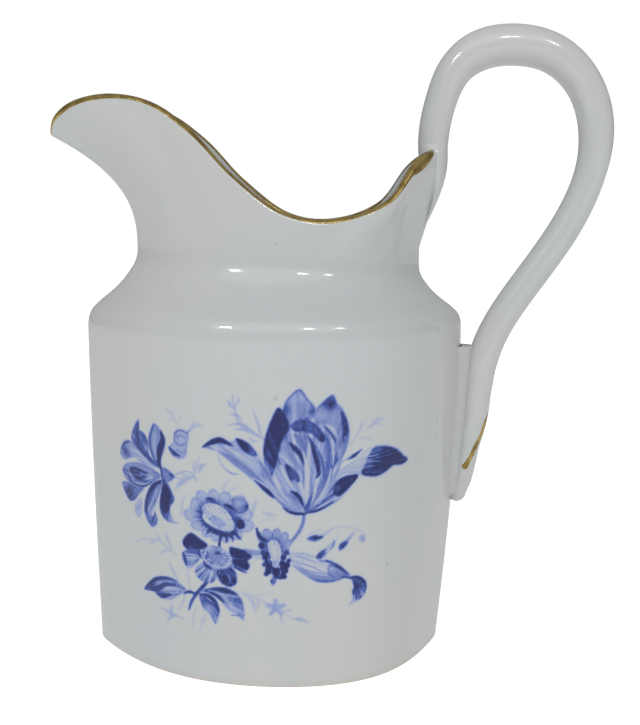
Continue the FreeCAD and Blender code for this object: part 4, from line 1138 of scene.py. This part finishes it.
def paint_sprigs(art):
    art.strokes_all(0.26, 0.28,
        [(-4, 54), (-6.6, 55.4), (-9, 57), (-10, 60), (-10.5, 63), (0.4, 0.35, 0.25)],
        [(-5, 54.4), (-7.4, 55.8), (-10, 56), (0.3, 0.9, 0.3)],
        [(-6, 55.4), (-8.6, 57), (-11.6, 56.8), (0.3, 0.8, 0.1)],
        [(-8.6, 57.6), (-9.6, 58.8), (-11, 59), (0.3, 0.8, 0.2)],
        [(-4.8, 55), (-5.4, 57.6), (-6.4, 60.2), (0.4, 0.5, 0.15)],
        [(-9.9, 60), (-11, 61), (-11.4, 62), (0.2, 0.7, 0.1)],
        [(-10, 60.6), (-9.2, 61.8), (-9.4, 62.6), (0.2, 0.5, 0.1)],
        [(-5.4, 53.6), (-6.4, 53.6), (-7, 54.4), (0.3, 0.6, 0.3)])
    art.strokes_all(0.16, 0.3,
        [(15, 54.8), (15.5, 56), (15.6, 57.4), (0.3, 0.5, 0.2)],
        [(17, 55.6), (18.8, 57), (20.9, 57.4), (0.2, 1.1, 0.2)],
        [(17.4, 55.8), (18.8, 56.4), (20.4, 56), (0.2, 0.5, 0.1)],
        [(15.4, 53.6), (16.8, 53.6), (18.2, 53), (0.2, 0.4, 0.1)],
        [(13.2, 52.4), (14.4, 54), (15.2, 55.4), (17, 58), (0.3, 0.2, 0.15)],
        [(-22.4, 37.4), (-22.4, 39.4), (-21.4, 41.2), (0.9, 0.6, 0.2)],
        [(-22.9, 36.6), (-21, 37.4), (-19.6, 37.4), (0.3, 0.9, 0.4)],
        [(-13, 42.4), (-12.6, 43.8), (-11.4, 45.3), (0.3, 0.7, 0.15)],
        [(-11.8, 41.8), (-11.2, 43), (-9.6, 43.8), (0.2, 0.4, 0.1)],
        [(-6.6, 38.6), (-6.3, 40), (-5.8, 41.2), (0.5, 1.1, 0.5)],
        [(-8.4, 41), (-8.6, 42), (-9.4, 42.8), (0.3, 0.4, 0.1)],
        [(-4.6, 38.7), (-3.2, 38.2), (-1.6, 38), (0.5, 1.0, 0.2)],
        [(-5, 36.6), (-3.6, 37.2), (-2.2, 37), (0.2, 0.3, 0.1)])
    art.strokes_all(0.19, 0.28,
        [(-37, 28.2), (-34, 29.4), (-31, 29.9), (-28.8, 30), (-26, 28.6), (-24.4, 27.4),
         (0.2, 0.4, 0.3)],
        [(-29, 27), (-27.4, 28.2), (-25.4, 28.4), (0.3, 0.6, 0.3)],
        [(-29.6, 31.6), (-29.2, 30.8), (-28.8, 30), (0.2, 0.6, 0.3)],
        [(-27, 32.3), (-26.6, 31), (-25.6, 29), (0.2, 0.9, 0.3)],
        [(-32, 28.8), (-31, 29.4), (-30, 30), (0.1, 0.5, 0.1)],
        [(-26.4, 25.5), (-25.4, 23.8), (-24, 22), (0.4, 0.8, 0.3)],
        [(-21.6, 24.8), (-21.5, 22.4), (-21, 20.4), (0.3, 0.4, 0.3)])
    art.strokes_all(0.24, 0.3,
        [(-29.8, 14.8), (-28, 14.6), (-26.4, 14), (0.2, 0.6, 1.2)],
        [(-26.3, 16.2), (-26.4, 15), (-26.3, 14), (0.3, 0.8, 1.3)],
        [(-23.2, 13.5), (-24.8, 13.9), (-26.4, 13.8), (0.2, 0.5, 1.2)],
        [(-28.2, 11.7), (-27.2, 12.8), (-26.3, 13.8), (0.2, 0.6, 1.2)],
        [(-24.6, 15.4), (-23.2, 17.2), (-22.4, 19.4), (0.2, 0.3, 0.3)])
    art.strokes_all(0.15, 0.28,
        [(-19.6, 17), (-20.6, 14.6), (-21, 11.6), (0.3, 0.4, 0.2)],
        [(-17.8, 15.4), (-18.6, 13.8), (-19, 11.8), (0.3, 0.5, 0.2)],
        [(-18.8, 13.4), (-18.2, 13.8), (-17.8, 14.4), (0.4, 0.6, 0.3)],
        [(-9.6, 21.2), (-6, 20.6), (-2.4, 21.4), (0.3, 0.25, 0.1)])
    art.strokes_all(0.2, 0.3,
        [(-9, 20.6), (-5.4, 19.6), (-2, 18), (1.4, 15.6), (0.3, 0.3, 0.2)],
        [(-7.8, 20), (-7, 19), (-6.4, 16.9), (0.5, 0.9, 0.2)],
        [(-6, 20), (-5.8, 18.8), (-6.2, 17.6), (0.2, 0.6, 0.2)],
        [(-0.6, 17.2), (0.2, 17.4), (1.2, 17.6), (0.3, 0.5, 0.15)],
        [(-0.8, 16.6), (-1, 15.6), (-0.6, 14.6), (0.3, 0.6, 0.15)],
        [(1.6, 15.5), (3.2, 15.4), (5, 14.6), (0.3, 1.1, 0.15)])
    for turn in range(5):
        a = math.radians(72 * turn + 20)
        tip = (-2.1 + 1.9 * math.cos(a), 18 + 1.7 * math.sin(a))
        art.stroke(0.3, [(-2.1, 18), tip], 1.3, 0.9, soft=0.35)


PATCH = (-44.5, 30.5, 9.0, 66.5)  # left, right, low and high, in millimetres
BRUSH_GRID = 0.23
PATCH_PROUD = 0.008 * MM
PATCH_MIDDLE_HEIGHT = 35 * MM


def front_spray():
    art = Painting(*PATCH, BRUSH_GRID)
    paint_sprigs(art)
    paint_leaves(art)
    paint_bud(art)
    paint_side_flower(art)
    paint_tulip(art)
    paint_florets(art)
    art.bleed(0.7, 0.10)
    return art


def painted_porcelain():
    """Cobalt brushed on the bare ware and sealed under the same clear glaze."""
    colours = colours_now()
    finish = glazed("Painted porcelain")
    white = porcelain_colour(finish, colours.porcelain)
    cobalt = finish.wire("ShaderNodeAttribute", {"attribute_name": "cobalt"}, {}, "Fac")
    mottled = finish.noise(1500.0, 3.0, 0.6).step(0.3, 0.7, 0.93, 1.07)
    cobalt = cobalt * mottled
    colour = finish.blend(cobalt.slope(0.0, 0.30), white, opaque(colours.cobalt_pale))
    colour = finish.blend(cobalt.slope(0.30, 0.62), colour, opaque(colours.cobalt_mid))
    colour = finish.blend(cobalt.slope(0.62, 0.95), colour, opaque(colours.cobalt_deep))
    finish.feed("Base Color", colour)
    finish.feed("Roughness", glaze_wear(finish))
    finish.feed("Normal", glaze_bump(finish))
    return finish.material


class BuildPainting(bpy.types.Operator):
    """Lays the spray of flowers on the wall, as brushwork under the glaze"""

    bl_idname = "jug.painting"
    bl_label = "Painted flowers"

    def execute(self, context):
        wall = wall_now()
        art = front_spray()
        turns = np.linspace(180, 0, 1441)
        outline = wall.upright(turns, PATCH_MIDDLE_HEIGHT, 0)
        steps_along = np.hypot(*np.diff(outline[:, :2], axis=0).T)
        lengths = np.concatenate([[0], np.cumsum(steps_along)])
        lengths -= np.interp(-90, -turns, lengths)
        along = np.interp(art.along * MM, lengths, turns)
        proud, sunk = [
            [wall.upright(along, height * MM, off) for height in art.up]
            for off in (PATCH_PROUD, -PATCH_PROUD)
        ]

        def point(row, column):
            edge = row in (0, art.rows) or column in (0, art.columns)
            x, y, z = (sunk if edge else proud)[row][column]
            return Vector((x, -y, z))

        bm = skin(art.rows, art.columns, point, art.ink)
        material = painted_porcelain()
        finish_piece(bm, "painted_flowers", material)
        return {"FINISHED"}


# ---- handle ---------------------------------------------------------------

HANDLE_RISE = 24.2 * MM
HANDLE_TOP_STATION = 0.48
HANDLE_REACH, HANDLE_REACH_HEIGHT = 29.4 * MM, 5.5 * MM
LANDING_HEIGHT, LANDING_GAP = 62.5 * MM, 1.0 * MM
HANDLE_END_HEIGHT = 34.8 * MM
ROOT_RADIUS, LOOP_RADIUS, FALL_RADIUS, END_RADIUS = 3.3 * MM, 4.5 * MM, 3.5 * MM, 2.5 * MM
PAD_TOP, PAD_BOTTOM = 69.4 * MM, 34.4 * MM
PAD_TOP_HALF, PAD_BOTTOM_HALF = 3.4 * MM, 4.6 * MM
PAD_TOP_REACH, PAD_BOTTOM_REACH, PAD_BACK = 3.0 * MM, 1.4 * MM, 4.5 * MM
PAD_ROUNDED, PAD_ROUNDING = 0.8, 0.22  # share of its height where the end rounds in
PAD_ROWS = 60


def handle_knots(wall):
    """The handle's middle line: (x, z, radius) from the rim round to its end."""
    back_rim, back_shoulder = wall.rim[1], wall.shoulder[1]
    root_x, root_z = back_rim - wall.lip - ROOT_INSET, wall.peak_height + ROOT_HEIGHT
    top_z = wall.peak_height + HANDLE_RISE
    far_x, far_z = back_shoulder + HANDLE_REACH, wall.peak_height + HANDLE_REACH_HEIGHT
    top_x = mix(root_x, far_x, HANDLE_TOP_STATION)
    land_x = back_of_wall(wall, LANDING_HEIGHT) + LANDING_GAP + FALL_RADIUS
    knots = [(root_x + 0.4 * MM, root_z - ROOT_DEPTH, 0.8 * ROOT_RADIUS)]
    knots.append((root_x, root_z, ROOT_RADIUS))
    for across, up, thick in ((0.12, 0.53, 0.2), (0.27, 0.765, 0.5), (0.56, 0.94, 0.9)):
        radius = mix(ROOT_RADIUS, LOOP_RADIUS, thick)
        knots.append((mix(root_x, top_x, across), mix(root_z, top_z, up), radius))
    knots.append((top_x, top_z, LOOP_RADIUS))
    for across, down, thin in ((0.46, 0.10, 0.15), (0.84, 0.46, 0.4)):
        radius = mix(LOOP_RADIUS, FALL_RADIUS, thin)
        knots.append((mix(top_x, far_x, across), mix(top_z, far_z, down), radius))
    knots.append((far_x, far_z, mix(LOOP_RADIUS, FALL_RADIUS, 0.6)))
    for back, down in ((0.045, 0.173), (0.29, 0.418), (0.69, 0.68), (0.89, 0.835)):
        at = (mix(far_x, land_x, back), mix(far_z, LANDING_HEIGHT, down))
        knots.append((*at, FALL_RADIUS))
    knots.append((land_x, LANDING_HEIGHT, FALL_RADIUS))
    for share, clear, slim in ((0.37, 0.2, 0.95), (0.62, -0.5, 0.86), (0.87, -0.6, 0.72)):
        z = mix(LANDING_HEIGHT, HANDLE_END_HEIGHT, share)
        x = back_of_wall(wall, z) + clear * MM + FALL_RADIUS * slim
        knots.append((x, z, FALL_RADIUS * slim))
    end_x = back_of_wall(wall, HANDLE_END_HEIGHT) + 0.5 * END_RADIUS
    knots.append((end_x, HANDLE_END_HEIGHT, 0.85 * END_RADIUS))
    return knots


def back_of_wall(wall, height):
    return wall.point(0, height / wall.throat_height).x


def back_of_neck(wall, height):
    """The keel behind the neck, up to the rim, for a height above the throat."""
    share = (height - wall.throat_height) / (wall.peak_height - wall.throat_height)
    return wall.point(0, 1 + min(max(share, 0), 1)).x


def even_spline(knots, count):
    """Points evenly along the smoothest curve through knots, with its direction."""
    knots = np.array(knots)
    chords = np.hypot(*np.diff(knots[:, :2], axis=0).T)
    at = np.concatenate([[0], np.cumsum(chords)])
    size = len(knots)
    matrix, right = np.eye(size), np.zeros((size, knots.shape[1]))
    for i in range(1, size - 1):
        before, after = chords[i - 1], chords[i]
        matrix[i, i - 1 : i + 2] = before, 2 * (before + after), after
        rise_after = (knots[i + 1] - knots[i]) / after
        right[i] = 6 * (rise_after - (knots[i] - knots[i - 1]) / before)
    bend = np.linalg.solve(matrix, right)
    line = []
    for distance in np.linspace(0, at[-1], count):
        i = min(int(np.searchsorted(at, distance, side="right")) - 1, size - 2)
        span = chords[i]
        b = (distance - at[i]) / span
        a = 1 - b
        curve = ((a**3 - a) * bend[i] + (b**3 - b) * bend[i + 1]) * span**2 / 6
        line.append(a * knots[i] + b * knots[i + 1] + curve)
    return line


class Rod:
    """The handle's round rod: its middle line, directions and radii."""

    def __init__(self, wall, count=190):
        knots = handle_knots(wall)
        marks = even_spline([(x, z) for x, z, radius in knots], count)
        lengths = [0.0]
        for a, b in zip(marks, marks[1:]):
            lengths.append(lengths[-1] + math.dist(a, b))
        thick = []
        for x, z, radius in knots:
            nearest = min(range(count), key=lambda i: math.dist(marks[i], (x, z)))
            thick.append((lengths[nearest], radius))
        self.stations = []
        for i, (x, z) in enumerate(marks):
            back, ahead = marks[max(i - 1, 0)], marks[min(i + 1, count - 1)]
            along = Vector((ahead[0] - back[0], 0, ahead[1] - back[1])).normalized()
            radius = smooth_through(thick, lengths[i])
            self.stations.append((Vector((x, 0, z)), along, radius))

    def side(self, x, z, proud):
        """The rod's surface beside a place seen from the side, held to its edge."""
        at = Vector((x, 0, z))
        middle, along, radius = min(self.stations, key=lambda s: (s[0] - at).length)
        outward = Vector((along.z, 0, -along.x))
        off = max(-0.999 * radius, min(0.999 * radius, (at - middle).dot(outward)))
        reach = (radius + proud) / radius
        forward = (at - middle).dot(along)
        level = math.sqrt(radius**2 - off**2)
        return middle + along * forward + outward * off * reach + Vector((0, level * reach, 0))


ROOT_TOP = 114.2 * MM
ROOT_INSET, ROOT_HEIGHT, ROOT_DEPTH = 0.2 * MM, 1.4 * MM, 5.5 * MM
ROOT_PROUD = [(95, -0.3), (99, 0.22), (104, 0.75), (109, 0.95), (114, 0.9)]
ROOT_FLARE = [(96, 2.2), (101, 3.4), (106, 4.2), (110.5, 4.45), (113.5, 4.0), (118, 0)]


def root_rings(wall):
    """Level rings that grow out of the keel behind the neck, up to the rod."""
    root_x = wall.rim[1] - wall.lip - ROOT_INSET
    rings = []
    for height in np.arange(95.0, ROOT_TOP / MM, 0.8):
        z = height * MM
        back = back_of_neck(wall, z)
        outer = back + smooth_through(ROOT_PROUD, height) * MM
        share = smooth_through([(98, 0), (114, 1)], height)
        inner = mix(back - 1.2 * MM, root_x - ROOT_RADIUS, share)
        middle = Vector(((outer + inner) / 2, 0, z))
        rings.append((middle, Vector((0, 0, 1)), (outer - inner) / 2, ROOT_RADIUS * 0.6))
    return rings


def finger_marks(z):
    """The lower handle was pressed on by hand, which left shallow ripples."""
    near = smooth_through([(0.040, 0), (0.046, 1), (0.060, 1), (0.068, 0)], z)
    return 1 + 0.012 * near * math.sin(z / MM * 1.05)


class BuildHandle(bpy.types.Operator):
    """Builds the loop handle, its root grown out of the back of the neck"""

    bl_idname = "jug.handle"
    bl_label = "Loop handle"

    def execute(self, context):
        wall = wall_now()
        rod = Rod(wall)
        rings = root_rings(wall)
        flared = len(rings) + 12  # the rows that widen where they leave the neck
        above = [i for i, station in enumerate(rod.stations) if station[0].z > ROOT_TOP]
        rings += [(*station, station[2]) for station in rod.stations[above[0] :]]
        middle, along, radius, half = rings[-1]
        for draw in (0.25, 0.5, 0.7, 0.85, 0.95, 0.99):
            shrunk = radius * math.sqrt(1 - draw**2)
            rings.append((middle + along * radius * draw, along, shrunk, shrunk))
        columns = 44

        def point(row, column):
            middle, along, deep, half = rings[row]
            a = 2 * math.pi * (column % columns) / columns
            pressed = finger_marks(middle.z)
            outward = Vector((along.z, 0, -along.x))
            flare = smooth_through(ROOT_FLARE, middle.z / MM) * MM if row < flared else 0
            at = middle + outward * deep * pressed * math.cos(a)
            at.y = max(half, flare) * pressed * math.sin(a)
            return at

        bm = skin(len(rings) - 1, columns, point)
        cap_holes(bm)
        material = handle_porcelain()
        finish_piece(bm, "loop_rod", material, ["loop_handle"])
        return {"FINISHED"}


class BuildPad(bpy.types.Operator):
    """Builds the clay pad between the handle's lower end and the wall"""

    bl_idname = "jug.pad"
    bl_label = "Handle pad"

    def execute(self, context):
        wall = wall_now()
        columns = 48

        def point(row, column):
            share = row / PAD_ROWS
            z = mix(PAD_TOP, PAD_BOTTOM, share)
            back = back_of_wall(wall, z)
            spread = smooth_through([(0, 0), (0.8, 1)], share)
            half = mix(PAD_TOP_HALF, PAD_BOTTOM_HALF, spread)
            if share > PAD_ROUNDED:
                half *= math.sqrt(1 - ((share - PAD_ROUNDED) / PAD_ROUNDING) ** 2)
            depth = PAD_BACK + mix(PAD_TOP_REACH, PAD_BOTTOM_REACH, share)
            a = 2 * math.pi * (column % columns) / columns
            x = back - PAD_BACK + depth * (0.5 + 0.5 * math.cos(a))
            return Vector((max(x, back - 2.0 * MM), half * math.sin(a), z))

        bm = skin(PAD_ROWS, columns, point)
        cap_holes(bm)
        rims = [edge for edge in bm.edges if edge.calc_face_angle(0) > 1.2]
        bmesh.ops.bevel(
            bm,
            geom=rims,
            offset=0.25 * MM,
            segments=3,
            profile=0.5,
            affect="EDGES",
            material=-1,
        )
        # The pad is painted 7 % darker than the porcelain: painted shade between the handle's end and
        # the wall.
        material = slip_and_shade_glaze("Pad porcelain", 0.93)
        finish_piece(bm, "pad", material, ["handle_pad"])
        return {"FINISHED"}


# ---- gilding --------------------------------------------------------------

GILT, GILT_EDGE = 0.06 * MM, -0.03 * MM  # how proud it lies, and its sunk edge
GOLD_BARE = 33  # degrees bare either side of the handle's root
STROKE = 1.0 * MM


def lip_place(wall, turn, distance, proud):
    """A place on the lip: distance up from its outer edge, or down if negative."""
    if distance < 0:
        return wall.lip_point(turn, 0, proud) + wall.up(turn, 2) * distance
    return wall.lip_point(turn, math.degrees(distance / (wall.lip / 2)), proud)


class BuildRimGold(bpy.types.Operator):
    """Builds the gold line painted round the lip"""

    bl_idname = "jug.rim_gold"
    bl_label = "Gold on the rim"

    def execute(self, context):
        wall = wall_now()
        columns, rows = 360, 15

        def point(row, column):
            turn = mix(GOLD_BARE, 360 - GOLD_BARE, column / columns)
            folded = abs((turn + 180) % 360 - 180)
            backward = smooth_through([(0, 1), (38, 1), (66, 0)], folded)
            start = mix(0.42 * MM, -wall.gold_width, backward)
            start += 0.07 * MM * (math.sin(turn * 0.31) + math.sin(turn * 0.173 + 1))
            end = math.radians(172) * wall.lip / 2
            edge = row in (0, rows) or column in (0, columns)
            share = min(max((row - 0.5) / (rows - 1), 0), 1)
            return lip_place(wall, turn, mix(start, end, share), GILT_EDGE if edge else GILT)

        bm = skin(rows, columns, point)
        finish_piece(bm, "rim_gold", worn_gold(), ["gilt_rim_band"])
        return {"FINISHED"}


def bent_line(start, bend, end, t):
    """A place on a curve that starts towards bend, and its direction."""
    place = [mix(mix(a, b, t), mix(b, c, t), t) for a, b, c in zip(start, bend, end)]
    way = [mix(b - a, c - b, t) for a, b, c in zip(start, bend, end)]
    long = math.hypot(*way)
    return place, (way[0] / long, way[1] / long)


def gold_strip(start, bend, end, widths, blunt, surface, hand):
    """A brush stroke of gold, seen from the side, laid on surface(x, z, proud)."""
    rows, columns = 40, 10

    def point(row, column):
        t = row / rows
        (x, z), (dx, dz) = bent_line(start, bend, end, t)
        across = column / columns * 2 - 1
        width = smooth_through(widths, t)
        tip = max(0.0, t - 1 + blunt) / blunt
        t_end = math.sqrt(max(0.0, 1 - tip**2)) if tip else 1.0
        width *= max(t_end, 0.02)
        edge = row in (0, rows) or column in (0, columns)
        place = surface(x - dz * across * width / 2, z + dx * across * width / 2, edge)
        return Vector((place.x, hand * abs(place.y), place.z))

    return skin(rows, columns, point)


def surface_of(name):
    bm = bmesh.new()
    bm.from_mesh(bpy.data.objects[name].data)
    bmesh.ops.translate(bm, verts=bm.verts, vec=(MIDDLE, 0, 0))
    tree = BVHTree.FromBMesh(bm)
    bm.free()
    return tree


def nearest_side(trees, x, z, proud):
    """Where a place seen from the side lies on the nearest of the surfaces."""
    found = None
    for tree in trees:
        at, normal, index, away = tree.ray_cast(Vector((x, -0.06, z)), Vector((0, 1, 0)))
        if at is None:
            at, normal, index, away = tree.find_nearest(Vector((x, -0.004, z)))
        if found is None or at.y < found.y:
            found = at + normal * (proud if normal.y < 0 else -proud)
    return found


class BuildHandleGold(bpy.types.Operator):
    """Builds the gold strokes at the handle's root and round its lower end"""

    bl_idname = "jug.handle_gold"
    bl_label = "Gold on the handle"

    def execute(self, context):
        wall = wall_now()
        rod = Rod(wall)
        gold = worn_gold()
        x = wall.rim[1] - wall.lip
        top = wall.peak_height + 1.6 * MM

        def on_rod(x, z, edge):
            return rod.side(x, z, GILT_EDGE if edge else GILT * 0.9)

        trees = [surface_of(name) for name in ("loop_rod", "vessel")]

        def on_root(x, z, edge):
            return nearest_side(trees, x, z, GILT_EDGE if edge else GILT)

        for hand, side in ((-1, "left"), (1, "right")):
            start = (x - 6.9 * MM, top - 6.7 * MM)
            bend = (x - 3.0 * MM, top - 4.7 * MM)
            end = (x - 0.9 * MM, top - 0.1 * MM)
            widths = [(0, 0.5 * STROKE), (0.35, 1.5 * STROKE), (0.7, 2.1 * STROKE)]
            bm = gold_strip(start, bend, end, widths, 0.14, on_root, hand)
            node = "gilt_root_stroke_" + side
            finish_piece(bm, "root_gold_" + side, gold, [node])
        low, high = 41.0 * MM, 54.0 * MM
        start = (back_of_wall(wall, high) + 2.2 * FALL_RADIUS, high + 1 * MM)
        bend = (back_of_wall(wall, low) + 3.9 * MM, mix(low, high, 0.2))
        end = (back_of_wall(wall, low) + 1.9 * MM, low)
        widths = [(0, STROKE), (0.7, 1.15 * STROKE), (1, 1.6 * STROKE)]
        both = [gold_strip(start, bend, end, widths, 0.08, on_rod, hand) for hand in (-1, 1)]
        sides = bpy.data.meshes.new("strokes")
        whole = bmesh.new()
        for bm in both:
            bm.to_mesh(sides)
            whole.from_mesh(sides)
        bpy.data.meshes.remove(sides)
        finish_piece(whole, "terminal_gold", gold, ["gilt_terminal_stroke"])
        return {"FINISHED"}


class FinishSlip(bpy.types.Operator):
    """Gives the two beds of slip their glaze"""

    bl_idname = "jug.slip"
    bl_label = "Slip joints"

    def execute(self, context):
        # The slip is painted 10 % darker: partly a dark joint, partly painted shade in the creases
        # where the handle meets the wall.
        material = slip_and_shade_glaze("Luting slip", 0.90)
        for name in ("upper_slip_joint", "lower_slip_joint"):
            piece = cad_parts[name]
            piece.data.materials.clear()
            piece.data.materials.append(material)
        return {"FINISHED"}


# ---- stage ----------------------------------------------------------------

FLOOR_RADIUS = 2.5
FLOOR_GLOW, FLOOR_GLOW_SEEN = 0.22, 0.75  # the floor's own light, and to the camera
SKY_LOW, SKY_HIGH, SKY_SEEN = 0.24, 0.42, 1.05  # level, overhead, and to the camera
LAMP_AIM = (0, 0, 0.07)
LAMPS = (  # name, place, size, watts
    ("softbox_left", (-0.55, -0.75, 0.75), (0.11, 0.11), 1.3),
    ("softbox_front", (0.20, -0.95, 0.85), (0.11, 0.09), 1.2),
    ("softbox_right", (0.52, -0.78, 0.8), (0.10, 0.10), 0.8),
    ("canopy", (-0.1, -0.9, 0.95), (1.5, 0.9), 3.7),
)
CAMERA_PLACE, CAMERA_TILT = (-0.00249, -0.245, 0.09979), 82
LENS, SENSOR = 53.43, 36  # millimetres, as the camera takes them


def area_light(name, place, aim, size, power):
    data = bpy.data.lights.new(name, "AREA")
    data.shape = "RECTANGLE"
    data.size, data.size_y = size
    data.energy = power
    lamp = bpy.data.objects.new(name, data)
    lamp.location = place
    toward = Vector(aim) - Vector(place)
    lamp.rotation_euler = toward.to_track_quat("-Z", "Y").to_euler()
    bpy.context.scene.collection.objects.link(lamp)


class BuildStage(bpy.types.Operator):
    """Builds the pale floor, the soft light and the camera"""

    bl_idname = "jug.stage"
    bl_label = "Studio"

    def execute(self, context):
        bm = bmesh.new()
        bmesh.ops.create_circle(bm, cap_ends=True, segments=96, radius=FLOOR_RADIUS)
        mesh = bpy.data.meshes.new("Floor")
        bm.to_mesh(mesh)
        bm.free()
        floor = bpy.data.objects.new("floor", mesh)
        context.scene.collection.objects.link(floor)
        paper = Finish("Pale floor", {"Roughness": 0.9, "Emission Strength": 1.0})
        tone = paper.noise(9.0, 2.0).step(0.3, 0.7)
        seen = paper.wire("ShaderNodeLightPath", {}, {}, "Is Camera Ray")
        glow = paper.blend(seen, grey(FLOOR_GLOW), grey(FLOOR_GLOW_SEEN))
        paper.feed("Emission Color", glow)
        paper.feed("Base Color", paper.blend(tone, grey(0.9), grey(0.88)))
        mesh.materials.append(paper.material)

        world = bpy.data.worlds.new("Studio")
        context.scene.world = world
        sky = Tree(world, "Background")
        sky.shader.inputs["Color"].default_value = grey(1.0)
        seen = sky.wire("ShaderNodeLightPath", {}, {}, "Is Camera Ray")
        facing = sky.wire("ShaderNodeTexCoord", {}, {}, "Generated")
        height = sky.wire("ShaderNodeSeparateXYZ", {}, {"Vector": facing}, "Z")
        level = height.step(0.05, 0.75, SKY_LOW, SKY_HIGH)
        sockets = {"Factor": seen, "A": level, "B": SKY_SEEN}
        sky.feed("Strength", sky.wire("ShaderNodeMix", {}, sockets, "Result"))

        for name, place, size, power in LAMPS:
            area_light(name, place, LAMP_AIM, size, power)

        camera_data = bpy.data.cameras.new("Camera")
        camera_data.lens = LENS
        camera_data.sensor_width = SENSOR
        camera_data.clip_start = 10 * MM
        camera = bpy.data.objects.new("Camera", camera_data)
        camera.location = CAMERA_PLACE
        camera.rotation_euler = (math.radians(CAMERA_TILT), 0, 0)
        context.scene.collection.objects.link(camera)
        context.scene.camera = camera
        context.scene.view_settings.view_transform = "Standard"
        return {"FINISHED"}


# ---- the add-on -----------------------------------------------------------


class JugPanel(bpy.types.Panel):
    """Lists the jug's sizes, colours and pieces"""

    bl_idname = "VIEW3D_PT_cream_jug"
    bl_label = "Cream jug"
    bl_space_type = "VIEW_3D"
    bl_region_type = "UI"
    bl_category = "Cream jug"

    def draw(self, context):
        layout = self.layout
        for group in (context.scene.jug_sizes, context.scene.jug_colours):
            box = layout.box()
            for name in group.__annotations__:
                box.prop(group, name)
        for builder in BUILDERS:
            layout.operator(builder.bl_idname)


BUILDERS = (
    BuildVessel,
    BuildPainting,
    BuildHandle,
    BuildPad,
    BuildRimGold,
    BuildHandleGold,
    FinishSlip,
    BuildStage,
)
CLASSES = (JugSizes, JugColours, *BUILDERS, JugPanel)


def register():
    for each in CLASSES:
        bpy.utils.register_class(each)
    bpy.types.Scene.jug_sizes = PointerProperty(type=JugSizes)
    bpy.types.Scene.jug_colours = PointerProperty(type=JugColours)


def unregister():
    del bpy.types.Scene.jug_colours
    del bpy.types.Scene.jug_sizes
    for each in reversed(CLASSES):
        bpy.utils.unregister_class(each)


def main():
    register()
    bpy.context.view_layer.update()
    bpy.ops.jug.vessel()
    bpy.ops.jug.painting()
    bpy.ops.jug.handle()
    bpy.ops.jug.pad()
    bpy.ops.jug.rim_gold()
    bpy.ops.jug.handle_gold()
    bpy.ops.jug.slip()
    bpy.ops.jug.stage()


if __name__ == "__main__":
    main()
